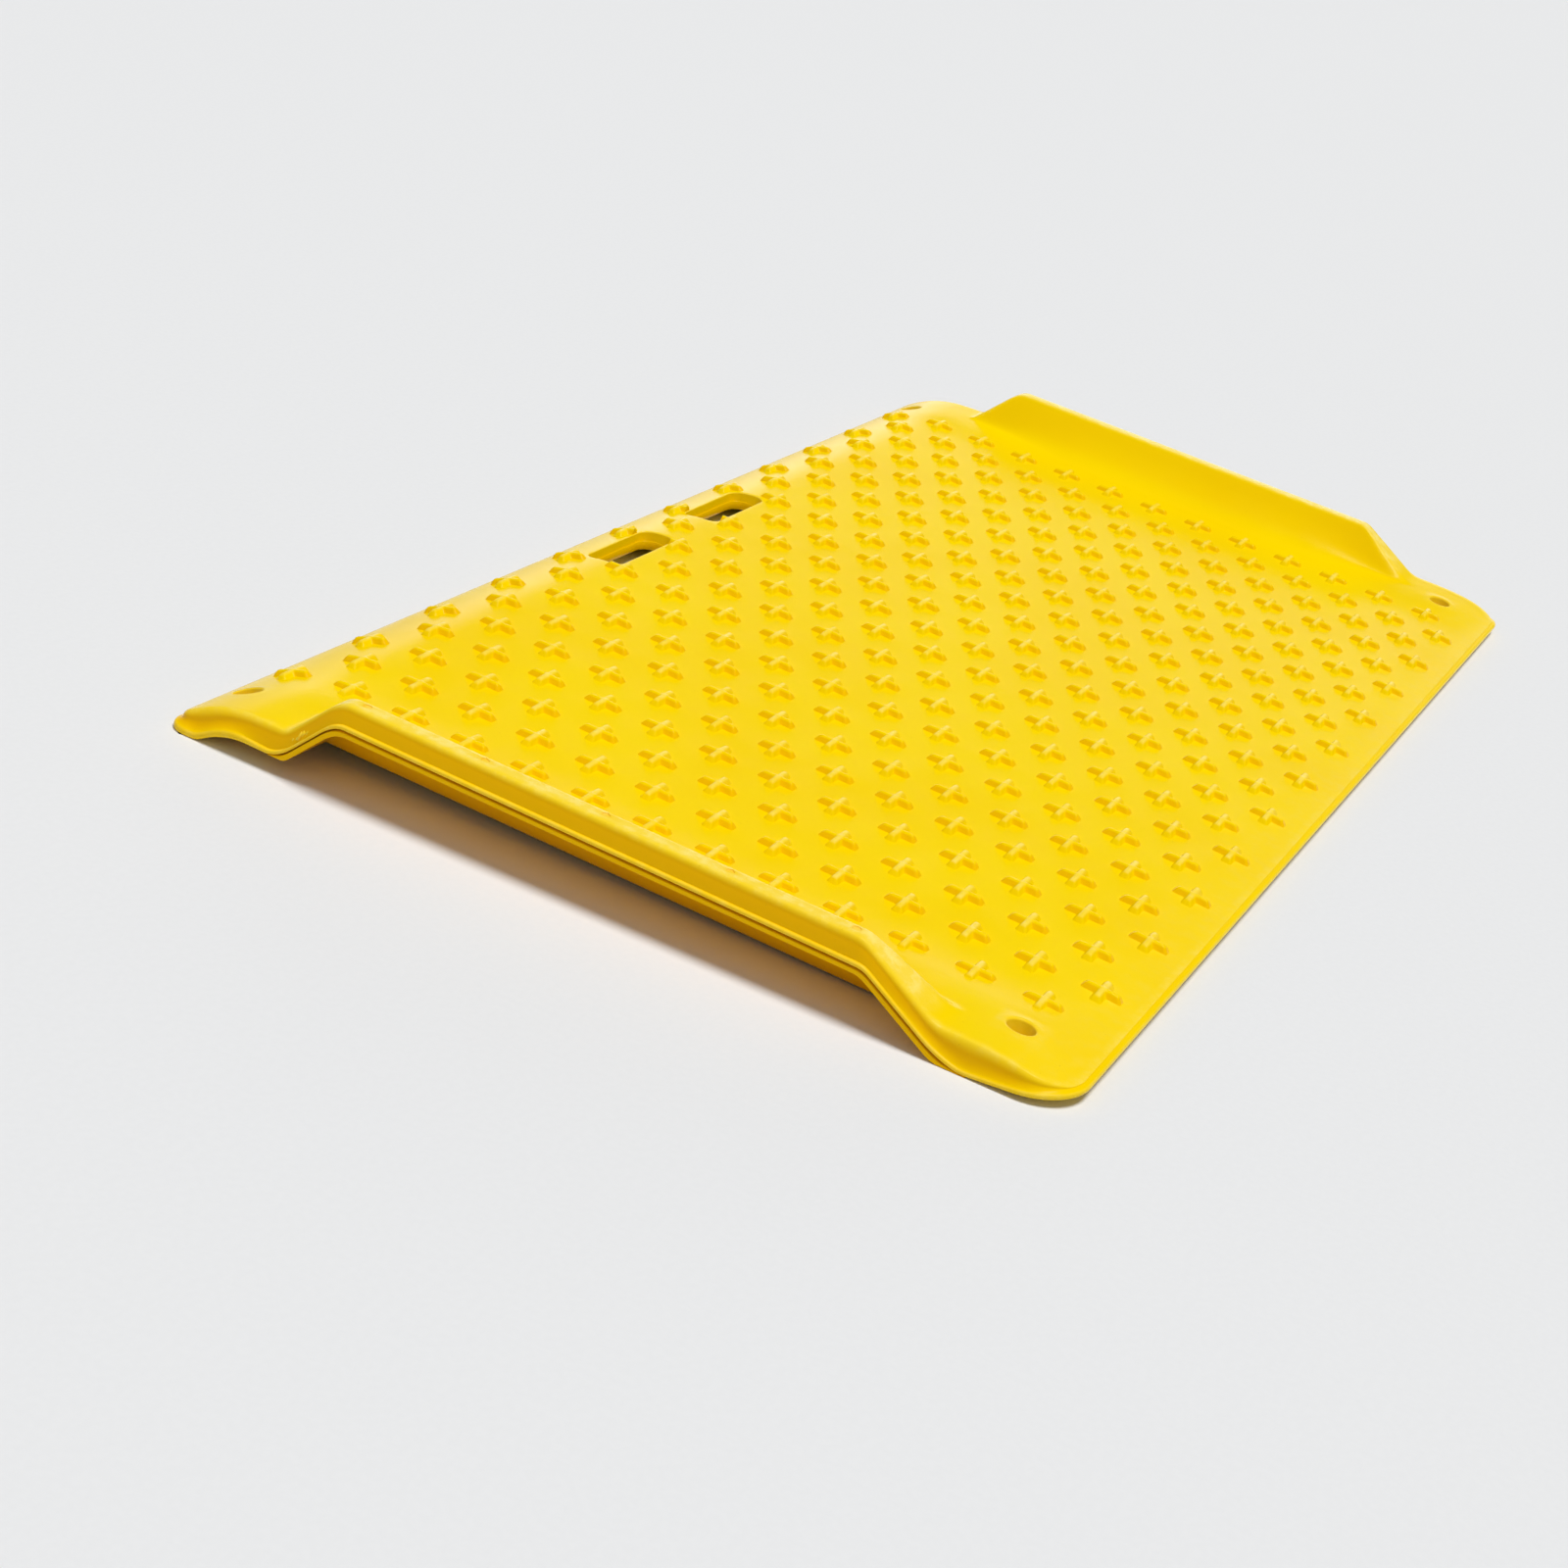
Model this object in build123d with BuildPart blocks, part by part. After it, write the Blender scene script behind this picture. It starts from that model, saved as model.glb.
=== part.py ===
from build123d import *
import os
from math import acos, asin, atan2, cos, degrees, radians, sin, tan

# Kerb ramp: a hollow moulding of two skins that meet in a parting groove.
# Millimetres. X runs along the kerb, Y from the toe up to the lip, Z is up.
# Sizes are taken in the deck's own frame: x across, y along the slope from
# the toe edge, and n square to the deck, with the deck's top face at n = 0.

# Overall size and skins
width = 1200.0
length = 610.0
deck_skin = 4.5
side_wall = 6.0
base_skin = 4.5
skin_gap = 4.0
seat_clearance = 0.3

# Rim flange around the upper skin, and the parting groove under it
rim_reach = 4.0
rim_thickness = 3.0
groove_height = 1.5
groove_depth = 3.0
strip_height = 4.6
edge_chamfer = 5.0

# Lip that curls down over the kerb
lip_run = 58.5
lip_radius = 100.0
lip_depth = 26.0
lip_under_radius = 55.0
lip_corner = 14.0

# Toe wedge that lies on the road
toe_edge = 5.0
toe_heel = 69.5
toe_corner = 34.0

# Shoulders: the deck's sides rise a little between the toe's corners and the rails
shoulder_height = 7.5
shoulder_width = 120.0
shoulder_start = 10.0
shoulder_rise = 45.0
shoulder_flat = 35.0
shoulder_fall = 55.0

# Side rails: height above the deck, ends set back from the toe and from the lip
rail_height = 38.0
rail_crest = 14.5
rail_toe_setback = 143.5
rail_lip_setback = 113.5
rail_toe_angle = 29.5
rail_lip_angle = 47.0
rail_inner_angle = 42.0
rail_foot_radius = 65.0
rail_end_foot_radius = 20.0
rail_bend_radius = 14.0
rail_edge_top = 4.5
rail_edge_drop = 8.0
foot_sink = 0.6

# Rim line where it climbs over the hollow under each rail
rim_drop = 15.5
rim_toe_lead = 6.0
rim_lip_lead = 1.0

# Gap between each rail's inner wall and the lower skin's wing inside it
wing_gap = 6.5

# Tread studs: small crosses in staggered rows
stud_row_pitch = 22.15
stud_column_pitch = 91.8
stud_lip_setback = 23.5
stud_toe_margin = 25.5
stud_side_margin = 90.0
stud_length = 27.0
stud_span = 29.0
stud_bar = 8.0
stud_height = 3.4
stud_hip = 5.0
stud_sink = 0.4

# Hand-holds through the lip
grip_length = 90.0
grip_width = 25.0
grip_corner = 8.0
grip_spacing = 163.0
grip_setback = 51.5
grip_step = 1.0
grip_collar = 4.5

# Fixing holes, one near each corner
fixing_diameter = 17.5
fixing_side_setback = 50.0
fixing_toe_setback = 52.0
fixing_lip_setback = 23.5
fixing_toe_wall = 1.5
fixing_boss = 5.0

# Tack-off channels that tie the lower skin to the deck
channel_pitch = 190.0
channel_width = 40.0
channel_side_margin = 105.0
channel_end_margin = 110.0
channel_draft = 30.0

# Levels and places that follow from the sizes above
slab_depth = deck_skin + skin_gap + base_skin
base_drop = deck_skin + skin_gap
wing_skin = groove_height + strip_height
rim_level = rail_height - rim_drop
rail_crest_toe = rail_toe_setback
rail_crest_lip = length - rail_lip_setback
rim_crest_toe = rail_crest_toe - rim_toe_lead
rim_crest_lip = rail_crest_lip - rim_lip_lead
toe_solid = fixing_toe_setback + fixing_diameter / 2 + fixing_toe_wall
fixing_lip = length - fixing_lip_setback
fixing_spacing = width - 2 * fixing_side_setback
grip_from_toe = length - grip_setback
lip_start = length - lip_run
wall_half = width / 2 - rim_reach
wall_end = length - rim_reach
hollow_half = wall_half - side_wall
hollow_end = wall_end - side_wall
form_depth = 2 * lip_depth
over = 1.0

# The ramp rests on the lip's rim and the heel of the toe, so the deck tilts a little
rest_land = 0.4
deck_tilt = atan2(lip_depth - slab_depth, wall_end - toe_heel)
deck_height = slab_depth * cos(deck_tilt) - toe_heel * sin(deck_tilt) - rest_land
deck_setback = -(length * cos(deck_tilt) + lip_depth * sin(deck_tilt)) / 2
deck_plane = Plane(
    origin=(0, deck_setback, deck_height),
    x_dir=(1, 0, 0),
    z_dir=(0, -sin(deck_tilt), cos(deck_tilt)),
)
side_plane = Plane(origin=deck_plane.origin, x_dir=deck_plane.y_dir, z_dir=deck_plane.x_dir)
front_plane = Plane(origin=deck_plane.origin, x_dir=deck_plane.x_dir, z_dir=-deck_plane.y_dir)
along = Axis(deck_plane.origin, deck_plane.y_dir)
square = Axis(deck_plane.origin, deck_plane.z_dir)


def under_deck(half, lip_end, toe_end, drop, corner):
    """Everything under the deck's face lowered by a drop, curled down at the lip."""
    radius = lip_radius - drop
    turn = degrees(asin((lip_end - lip_start) / radius))
    with BuildPart() as form:
        with BuildSketch(side_plane):
            with BuildLine():
                curl = CenterArc((lip_start, -lip_radius), radius, 90, -turn)
                Polyline(
                    curl @ 1,
                    (lip_end, -form_depth),
                    (toe_end, -form_depth),
                    (toe_end, -drop),
                    curl @ 0,
                )
            make_face()
        extrude(amount=half, both=True)
        fillet(form.edges().filter_by(square).sort_by(along)[-2:], corner)
    return form.part


def plan_block(inset):
    """Block of the ramp's plan outline, moved in all round by an inset."""
    with BuildPart() as form:
        with BuildSketch(deck_plane) as outline:
            with Locations((0, length / 2)):
                Rectangle(width - 2 * inset, length - 2 * inset)
            fillet(outline.vertices().group_by(Axis.Y)[-1], lip_corner - inset)
            fillet(outline.vertices().group_by(Axis.Y)[0], toe_corner - inset)
        extrude(amount=form_depth, both=True)
    return form.part


def hump(crest_toe, crest_lip, crest, depth, floor):
    """Side outline of a raised stretch, cut back square to its faces by a depth."""
    toe_slope = radians(rail_toe_angle)
    lip_slope = radians(rail_lip_angle)
    top = crest - depth
    toe_top = crest_toe + depth * tan(toe_slope / 2)
    lip_top = crest_lip - depth * tan(lip_slope / 2)
    with BuildSketch(side_plane) as outline:
        Polygon(
            (toe_top - (top - floor) / tan(toe_slope), floor),
            (toe_top, top),
            (lip_top, top),
            (lip_top + (top - floor) / tan(lip_slope), floor),
        )
    return outline.sketch


def above_underside():
    """Side outline of everything above the underside of the toe, the plate and the lip's rim."""
    turn = degrees(acos(1 - (lip_depth - slab_depth) / lip_under_radius))
    with BuildSketch(side_plane) as outline:
        with BuildLine():
            under = CenterArc(
                (lip_start, -slab_depth - lip_under_radius), lip_under_radius, 90, -turn
            )
            Polyline(
                under @ 1,
                (length, -lip_depth),
                (length, form_depth),
                (0, form_depth),
                (0, -toe_edge),
                (toe_heel, -slab_depth),
                under @ 0,
            )
        make_face()
    return outline.sketch


def across(outline):
    """Side outline run right across the ramp."""
    with BuildPart() as form:
        extrude(outline, amount=width, both=True)
    return form.part


def rail_outside():
    """Rail's cross-section run along the ramp and kept inside the rail's side outline."""
    inner_slope = radians(rail_inner_angle)
    toe_slope = radians(rail_toe_angle)
    lip_slope = radians(rail_lip_angle)
    root = -rail_edge_drop - over
    rise = rail_height + foot_sink
    foot_in = wall_half - rail_crest - rise / tan(inner_slope)
    crest_in = foot_in + (rise + over) / tan(inner_slope)
    foot_toe = rail_crest_toe - rise / tan(toe_slope)
    foot_lip = rail_crest_lip + rise / tan(lip_slope)
    inner_run = rail_foot_radius * tan(inner_slope / 2) + over
    toe_run = rail_end_foot_radius * tan(toe_slope / 2) + over
    lip_side_run = rail_end_foot_radius * tan(lip_slope / 2) + over
    with BuildPart() as form:
        with BuildSketch(side_plane) as outline:
            Polygon(
                (foot_toe - toe_run, root),
                (foot_toe - toe_run, -foot_sink),
                (foot_toe, -foot_sink),
                (rail_crest_toe, rail_height),
                (rail_crest_lip, rail_height),
                (foot_lip, -foot_sink),
                (foot_lip + lip_side_run, -foot_sink),
                (foot_lip + lip_side_run, root),
            )
            feet = outline.vertices().sort_by(Axis.X)
            fillet([feet[2], feet[5]], rail_end_foot_radius)
            fillet(outline.vertices().group_by(Axis.Y)[-1], rail_bend_radius)
        extrude(amount=wall_half)
        outer_edges = form.edges().filter_by(along).group_by(Axis.X)[-1]
        outer_face = form.faces().sort_by(Axis.X)[-1]
        chamfer(outer_edges.sort_by(square)[-1], rail_edge_drop, rail_edge_top, reference=outer_face)
        with BuildSketch(front_plane) as section:
            Polygon(
                (foot_in - inner_run, root),
                (foot_in - inner_run, -foot_sink),
                (foot_in, -foot_sink),
                (crest_in, rail_height + over),
                (width / 2, rail_height + over),
                (width / 2, root),
            )
            fillet(section.vertices().sort_by(Axis.X)[2], rail_foot_radius)
        extrude(amount=length, both=True, mode=Mode.INTERSECT)
        mirror(about=Plane.YZ)
    return form.part


def toe_shoulders():
    """Low rise of the deck's sides from the toe's corners up to the rails' ends."""
    root = -rail_edge_drop - over
    crest_start = shoulder_start + shoulder_rise
    crest_end = crest_start + shoulder_flat
    end = crest_end + shoulder_fall
    with BuildPart() as form:
        with BuildSketch(side_plane):
            Polygon(
                (shoulder_start, root),
                (shoulder_start, -foot_sink),
                (crest_start, shoulder_height),
                (crest_end, shoulder_height),
                (end, -foot_sink),
                (end, root),
            )
        extrude(amount=wall_half)
        top_edges = form.faces().sort_by(Axis.X)[-1].edges().sort_by(square)[-3:]
        chamfer(top_edges, edge_chamfer)
        with BuildSketch(front_plane):
            Polygon(
                (wall_half - shoulder_width, root),
                (wall_half - shoulder_width, -foot_sink),
                (wall_half, shoulder_height),
                (wall_half, root),
            )
        extrude(amount=length, both=True, mode=Mode.INTERSECT)
        mirror(about=Plane.YZ)
    return form.part


def rail_hollow():
    """Hollow inside both rails, one skin in from their faces."""
    inner_slope = radians(rail_inner_angle)
    floor = -deck_skin - over
    top = rail_height - deck_skin
    crest_in = wall_half - rail_crest + deck_skin * tan(inner_slope / 2)
    outline = hump(rail_crest_toe, rail_crest_lip, rail_height, deck_skin, floor)
    with BuildPart() as form:
        with BuildSketch(front_plane):
            Polygon(
                (crest_in - (top - floor) / tan(inner_slope), floor),
                (crest_in, top),
                (hollow_half, top),
                (hollow_half, floor),
            )
        extrude(amount=length, both=True)
        extrude(outline, amount=width, both=True, mode=Mode.INTERSECT)
        mirror(about=Plane.YZ)
    return form.part


def wing(depth, floor, outer):
    """Form that climbs into both rails beside their inner walls, cut back by a depth."""
    slope = radians(rail_inner_angle)
    top = rim_level - depth
    hollow_crest = wall_half - rail_crest + deck_skin * tan(slope / 2)
    foot = hollow_crest - (rail_height - deck_skin) / tan(slope) + (wing_gap + depth) / sin(slope)
    outline = hump(rim_crest_toe, rim_crest_lip, rim_level, depth, floor)
    with BuildPart() as form:
        with BuildSketch(front_plane):
            Polygon(
                (foot + floor / tan(slope), floor),
                (foot + top / tan(slope), top),
                (outer, top),
                (outer, floor),
            )
        extrude(amount=length, both=True)
        extrude(outline, amount=width, both=True, mode=Mode.INTERSECT)
        mirror(about=Plane.YZ)
    return form.part


def side_strips(inset):
    """Two blocks along the ramp's sides that reach in by an inset."""
    strip = inset + over
    centre = width / 2 + over - strip / 2
    with BuildPart() as form:
        with BuildSketch(deck_plane):
            with Locations((centre, length / 2), (-centre, length / 2)):
                Rectangle(strip, 2 * length)
        extrude(amount=form_depth, both=True)
    return form.part


def grip_block(spread, level):
    """Pair of rounded blocks on the hand-holds' places, widened by a spread, from a level down."""
    with BuildPart() as form:
        with BuildSketch(deck_plane.offset(level)):
            with Locations((0, grip_from_toe)):
                with GridLocations(grip_spacing, 0, 2, 1):
                    RectangleRounded(grip_length + 2 * spread, grip_width + 2 * spread, grip_corner)
        extrude(amount=-form_depth)
    return form.part


def fixing_holes(from_toe):
    """Pair of upright pins on the fixing holes' places."""
    centre = deck_plane.from_local_coords((0, from_toe, 0))
    with BuildPart() as form:
        with BuildSketch(Plane.XY):
            with Locations((0, centre.Y)):
                with GridLocations(fixing_spacing, 0, 2, 1):
                    Circle(fixing_diameter / 2)
        extrude(amount=2 * form_depth, both=True)
    return form.part


def boss_posts(clearance):
    """Pair of square posts around the lip's fixing holes."""
    side = fixing_diameter + 2 * fixing_boss + 2 * clearance
    with BuildPart() as form:
        with BuildSketch(deck_plane):
            with Locations((0, fixing_lip)):
                with GridLocations(fixing_spacing, 0, 2, 1):
                    Rectangle(side, side)
        extrude(amount=form_depth, both=True)
    return form.part


def channel_block(wide, level):
    """Row of tapered ridges along the travel, from a level up by the skins' gap."""
    room = width - 2 * channel_side_margin - channel_width
    count = int(room / channel_pitch) + 1
    with BuildPart() as form:
        with BuildSketch(deck_plane.offset(level - over)):
            with Locations((0, length / 2)):
                with GridLocations(channel_pitch, 0, count, 1):
                    Rectangle(wide, length - 2 * channel_end_margin)
        extrude(amount=skin_gap + over, taper=channel_draft)
    return form.part


def stud_bar_form(bar_length, ridge_plane, end_plane):
    """Ridged bar with hipped ends, its foot sunk a little below the surface."""
    low = -stud_sink
    with BuildPart() as form:
        with BuildSketch(end_plane):
            Polygon((-stud_bar / 2, low), (stud_bar / 2, low), (0, stud_height))
        extrude(amount=bar_length, both=True)
        with BuildSketch(ridge_plane):
            Polygon(
                (-bar_length / 2, low),
                (bar_length / 2, low),
                (bar_length / 2 - stud_hip, stud_height),
                (stud_hip - bar_length / 2, stud_height),
            )
        extrude(amount=bar_length, both=True, mode=Mode.INTERSECT)
    return form.part


def stud_planes():
    """Places of the studs: staggered rows, tilted where the lip curls, none in a hand-hold."""
    rows = int((length - stud_lip_setback - stud_toe_margin) / stud_row_pitch) + 1
    long_count = int((width - 2 * stud_side_margin) / stud_column_pitch) + 1
    planes = []
    for row in range(rows):
        from_toe = length - stud_lip_setback - row * stud_row_pitch
        turn = asin(max(0.0, from_toe - lip_start) / lip_radius)
        level = lip_radius * (cos(turn) - 1)
        normal = deck_plane.y_dir * sin(turn) + deck_plane.z_dir * cos(turn)
        count = long_count - row % 2
        for place in range(count):
            x = (place - (count - 1) / 2) * stud_column_pitch
            beside_grip = abs(abs(x) - grip_spacing / 2) > grip_length / 2
            clear_of_grip = abs(from_toe - grip_from_toe) > grip_width / 2
            if beside_grip or clear_of_grip:
                origin = deck_plane.from_local_coords((x, from_toe, level))
                planes.append(Plane(origin=origin, x_dir=deck_plane.x_dir, z_dir=normal))
    return planes


# Forms that both skins share
above = across(above_underside())
rail_rise = hump(rim_crest_toe, rim_crest_lip, rim_level, 0, -form_depth)
under_rails = across(rail_rise)
rim_lift = Location(deck_plane.z_dir * rim_thickness)
groove_fall = Location(deck_plane.z_dir * -groove_height)
lip_holes = fixing_holes(fixing_lip)
toe_holes = fixing_holes(fixing_toe_setback)

# Rim flange: a thin band along the edge of the upper skin, lifted over the rails' hollows
with BuildPart() as rim:
    add(above)
    add(under_rails, mode=Mode.SUBTRACT)
with BuildPart() as flange:
    add(rim.part)
    add(rim.part.moved(rim_lift), mode=Mode.SUBTRACT)
    add(plan_block(0), mode=Mode.INTERSECT)
    add(plan_block(rim_reach + over), mode=Mode.SUBTRACT)

# Parting groove: the gap left under the rim where the lower skin's edge shows
with BuildPart() as groove:
    add(under_rails)
    add(under_rails.moved(groove_fall), mode=Mode.SUBTRACT)
    add(side_strips(groove_depth), mode=Mode.INTERSECT)

# One tread stud: a ridged bar along the travel crossed by one along the kerb
with BuildPart() as stud:
    add(stud_bar_form(stud_length, Plane.YZ, Plane.XZ))
    add(stud_bar_form(stud_span, Plane.XZ, Plane.YZ))

# Upper skin, first its outer form: the plate curled at the lip, and the side rails
outer = under_deck(wall_half, wall_end, 0, 0, lip_corner - rim_reach)
outer_plan = plan_block(rim_reach)
rails = rail_outside()
shoulders = toe_shoulders()
deck_hollow = under_deck(
    hollow_half, hollow_end, toe_solid, deck_skin, lip_corner - rim_reach - side_wall
)
rails_hollow = rail_hollow()
wall_cut = side_strips(rim_reach + side_wall + over)

# Collars that close the gap between the skins around the hand-holds
gap_floor = under_deck(wall_half, wall_end, 0, base_drop, lip_corner - rim_reach)
with BuildPart() as collars:
    add(grip_block(grip_collar, 0))
    add(outer, mode=Mode.INTERSECT)
    add(gap_floor, mode=Mode.SUBTRACT)

# Bosses around the lip's fixing holes, right down to the rim
with BuildPart() as bosses:
    add(boss_posts(0))
    add(outer, mode=Mode.INTERSECT)
    add(above, mode=Mode.INTERSECT)

deck_grips = grip_block(0, stud_height + over)
with BuildPart() as wall_notch:
    add(under_rails)
    add(wall_cut, mode=Mode.INTERSECT)

with BuildPart() as deck_shell:
    add(outer)
    # Chamfering one long edge carries on round the lip's tangent corners to the other
    long_edges = deck_shell.edges().filter_by(along).group_by(square)[-1]
    chamfer(long_edges.sort_by(Axis.X)[-1], edge_chamfer)
    add(shoulders)
    add(outer_plan, mode=Mode.INTERSECT)
    add(above, mode=Mode.INTERSECT)
    add(rails)
    add(wall_notch.part, mode=Mode.SUBTRACT)
    add(flange.part)
    add(deck_hollow, mode=Mode.SUBTRACT)
    add(rails_hollow, mode=Mode.SUBTRACT)
    add(collars.part)
    add(bosses.part)
    with Locations(*stud_planes()):
        add(stud.part)
    add(deck_grips, mode=Mode.SUBTRACT)
    add(toe_holes, mode=Mode.SUBTRACT)
    add(lip_holes, mode=Mode.SUBTRACT)
    split(bisect_by=Plane.XY, keep=Keep.TOP)

# Lower skin: a panel under the deck, wings up into the rails and tack-off channels
panel = under_deck(
    hollow_half - seat_clearance,
    hollow_end - seat_clearance,
    toe_solid + seat_clearance,
    base_drop,
    lip_corner - rim_reach - side_wall - seat_clearance,
)
panel_under = under_deck(wall_half, wall_end, 0, slab_depth, lip_corner - rim_reach)
wing_top = wing(0, -slab_depth, width / 2)
wing_under = wing(wing_skin, -slab_depth - over, width / 2 + over)
boss_room = boss_posts(seat_clearance)
base_grips = grip_block(-grip_step, 0)
ridges = channel_block(channel_width, -base_drop)
pockets = channel_block(channel_width - base_skin, -slab_depth)

with BuildPart() as base_shell:
    add(panel)
    add(panel_under, mode=Mode.SUBTRACT)
    add(above, mode=Mode.INTERSECT)
    add(wing_top)
    add(wing_under, mode=Mode.SUBTRACT)
    add(groove.part, mode=Mode.SUBTRACT)
    add(ridges)
    add(pockets, mode=Mode.SUBTRACT)
    add(base_grips, mode=Mode.SUBTRACT)
    add(boss_room, mode=Mode.SUBTRACT)
    split(bisect_by=Plane.XY, keep=Keep.TOP)

os.makedirs("parts", exist_ok=True)
deck_shell.part.label = "deck_shell"
base_shell.part.label = "base_shell"
export_step(deck_shell.part, "parts/deck_shell.step")
export_step(base_shell.part, "parts/base_shell.step")
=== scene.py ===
import math

import bmesh
import bpy
import numpy as np
from mathutils import Matrix, Vector


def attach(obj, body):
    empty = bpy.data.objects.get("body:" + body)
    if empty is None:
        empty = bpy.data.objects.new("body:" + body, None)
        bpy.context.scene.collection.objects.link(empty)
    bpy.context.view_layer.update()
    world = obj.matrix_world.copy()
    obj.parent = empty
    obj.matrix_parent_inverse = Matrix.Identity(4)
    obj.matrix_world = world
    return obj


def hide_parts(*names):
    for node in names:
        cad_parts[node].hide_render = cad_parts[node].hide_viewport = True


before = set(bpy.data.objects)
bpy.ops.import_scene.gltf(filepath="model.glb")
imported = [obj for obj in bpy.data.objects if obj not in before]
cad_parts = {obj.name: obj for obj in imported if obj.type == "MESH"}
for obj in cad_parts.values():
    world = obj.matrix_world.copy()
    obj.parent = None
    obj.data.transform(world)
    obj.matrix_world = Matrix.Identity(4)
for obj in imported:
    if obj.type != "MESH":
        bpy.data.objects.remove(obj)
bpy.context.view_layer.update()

# Sizes are millimetres in the deck's own frame, as in the solids: x along the lip,
# y up the slope from the toe edge, n square to the deck with its top face at n = 0.
# A name ending in OVER is a pair, where a smooth step starts and where it ends.
# WEAR is a share of scuffing, on the rails' and studs' tops also of painted highlight; the shares of a
# deeper orange are painted shade, and PALER is a share taken off that.
MM = 0.001
SHARP_ANGLE = math.radians(50.0)
LINE_TOLERANCE = 0.01
LINE_DECIMALS = 3

# Plan and skins
WIDTH = 1200.0
LENGTH = 610.0
LIP_CORNER = 14.0
TOE_CORNER = 34.0
DECK_SKIN = 4.5
BASE_SKIN = 4.5
SLAB = 13.0
RIM_REACH = 4.0
WALL_INNER = 10.0
SEAT_GAP = 0.3
REST_LAND = 0.4

# Lip and toe
LIP_START = 551.5
LIP_RADIUS = 100.0
LIP_DEPTH = 26.0
LIP_UNDER_RADIUS = 55.0
LIP_UNDER_BLEND = 4.0
CURL_SHARE = 0.95
TOE_EDGE = 5.0
TOE_HEEL = 69.5
TOE_SOLID = 62.25

# The tread stands a little proud between its edges and is hollow in its middle
DISH_DEPTH = 3.0
DISH_HALF = 525.0
DISH_MIDDLE = 303.5
PLATE_RISE = 2.2
PLATE_TOE_OVER = (8.0, 50.0)
PLATE_LIP_OVER = (LIP_START - 10.0, LENGTH - 15.0)
PLATE_SIDE_OVER = (DISH_HALF, WIDTH / 2 - 5.0)

# The tread's sides rise to one height past the toe and to another further up.
# The step at the lip is measured back from the lip's edge.
SIDE_START = 480.0
TOE_RISE = 7.2
TOE_RISE_OVER = (8.0, 65.0)
LIP_RISE = 4.4
LIP_RISE_OVER = (4.0, 80.0)
RISE_CHANGE_OVER = (100.0, 200.0)

# Side rails; a bend, a hip and a foot are heights over which two faces blend
RAIL_HEIGHT = 38.0
RAIL_CREST_IN = 581.5
RAIL_CREST_TOE = 143.5
RAIL_CREST_LIP = 496.5
RAIL_TOE_SLOPE = math.tan(math.radians(29.5))
RAIL_LIP_SLOPE = math.tan(math.radians(47.0))
RAIL_INNER_ANGLE = math.radians(50.0)
RAIL_INNER_SLOPE = math.tan(RAIL_INNER_ANGLE)
RAIL_END_SLOPE = math.tan(math.radians(57.0))
RAIL_SLOPE_OVER = (RAIL_CREST_TOE - 40.0, RAIL_CREST_TOE + 90.0)
RAIL_LIP_OVER = (RAIL_CREST_LIP - 90.0, RAIL_CREST_LIP + 30.0)
TOE_BEND = 2.4
LIP_BEND = 8.0
RAIL_HIP = 1.6
RAIL_TOE_HIP = 9.0
RAIL_HIP_OVER = (RAIL_CREST_TOE - 60.0, RAIL_CREST_TOE)
FOOT_INNER = 26.0
FOOT_END = 4.0
FOOT_TOE_OVER = (RAIL_CREST_TOE - 45.0, RAIL_CREST_TOE + 35.0)
FOOT_HEIGHT_OVER = (2.0, 16.0)

# Scuffing, a painted highlight on the rails' tops and painted shade on the rails' inner slopes of the
# upper skin's top
EDGE_WEAR = 0.25
EDGE_WEAR_OVER = (4.0, 14.0)
TOE_WEAR = 0.12
TOE_WEAR_OVER = (8.0, 80.0)
RAIL_WEAR_AND_HIGHLIGHT_OVER = (1.0, 16.0)
# Painted shade on the rails' inner slopes
RAIL_SHADE = 0.15
RAIL_SHADE_TOP_OVER = (0.0, 4.0)
RAIL_SHADE_FOOT_OVER = (-6.0, 12.0)

# Edge of the upper skin: a rolled top edge, a wall that flares out and a thin rim
EDGE_START = 10.5
EDGE_EASE = 15.0
EDGE_TOE_EASE = 20.0
EDGE_TOE_OVER = (5.0, 45.0)
EDGE_TOE_PALER = 0.9
EDGE_LIP_OVER = (LIP_START - 20.0, LIP_START + 20.0)
FLARE_OVER = (80.0, 150.0)
WALL_INSET = 4.2
WALL_FOOT = 2.6
WALL_SCOOP = 1.2
WALL_LEAST = 0.8
WALL_BOW = 1.6
WALL_LOOPS = 8
# Painted shade down the rolled edge and the wall, less at the rim, and less near the toe by
# EDGE_TOE_PALER
WALL_SHADE = 0.8
ROLL_SHARE = 0.32
ROLL_END_SHARE = 0.45
ROLL_IN = 2.4
ROLL_TOE_IN = 3.2
ROLL_LIP_IN = 5.0
ROLL_LEAST = 0.3
ROLL_MOST = 9.0
ROLL_TURN = math.radians(80.0)
ROLL_LOOPS = 8
ROLL_WEAR = 0.4
RIM_THICKNESS = 3.0
RIM_TOE_THICKNESS = 4.2
RIM_LIP_THICKNESS = 5.0
RIM_NOSE = 1.5
RIM_LOOPS = 7
RIM_WEAR = 0.25
RIM_SHADE = 0.3

# Rim line over the hollow under each rail
RIM_TOE = 137.5
RIM_LIP = 495.5
RIM_TOE_LEVEL = 21.8
RIM_LIP_LEVEL = 23.2
RIM_MERGE = 10.0

# Lower skin: its wings under the rails, and the parting groove and strip where they end
BASE_LEAST = 0.1
WING_GAP = 3.6
WING_BLEND = 3.0
WING_CLEAR = 0.1
WING_LINES = 537.0
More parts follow.
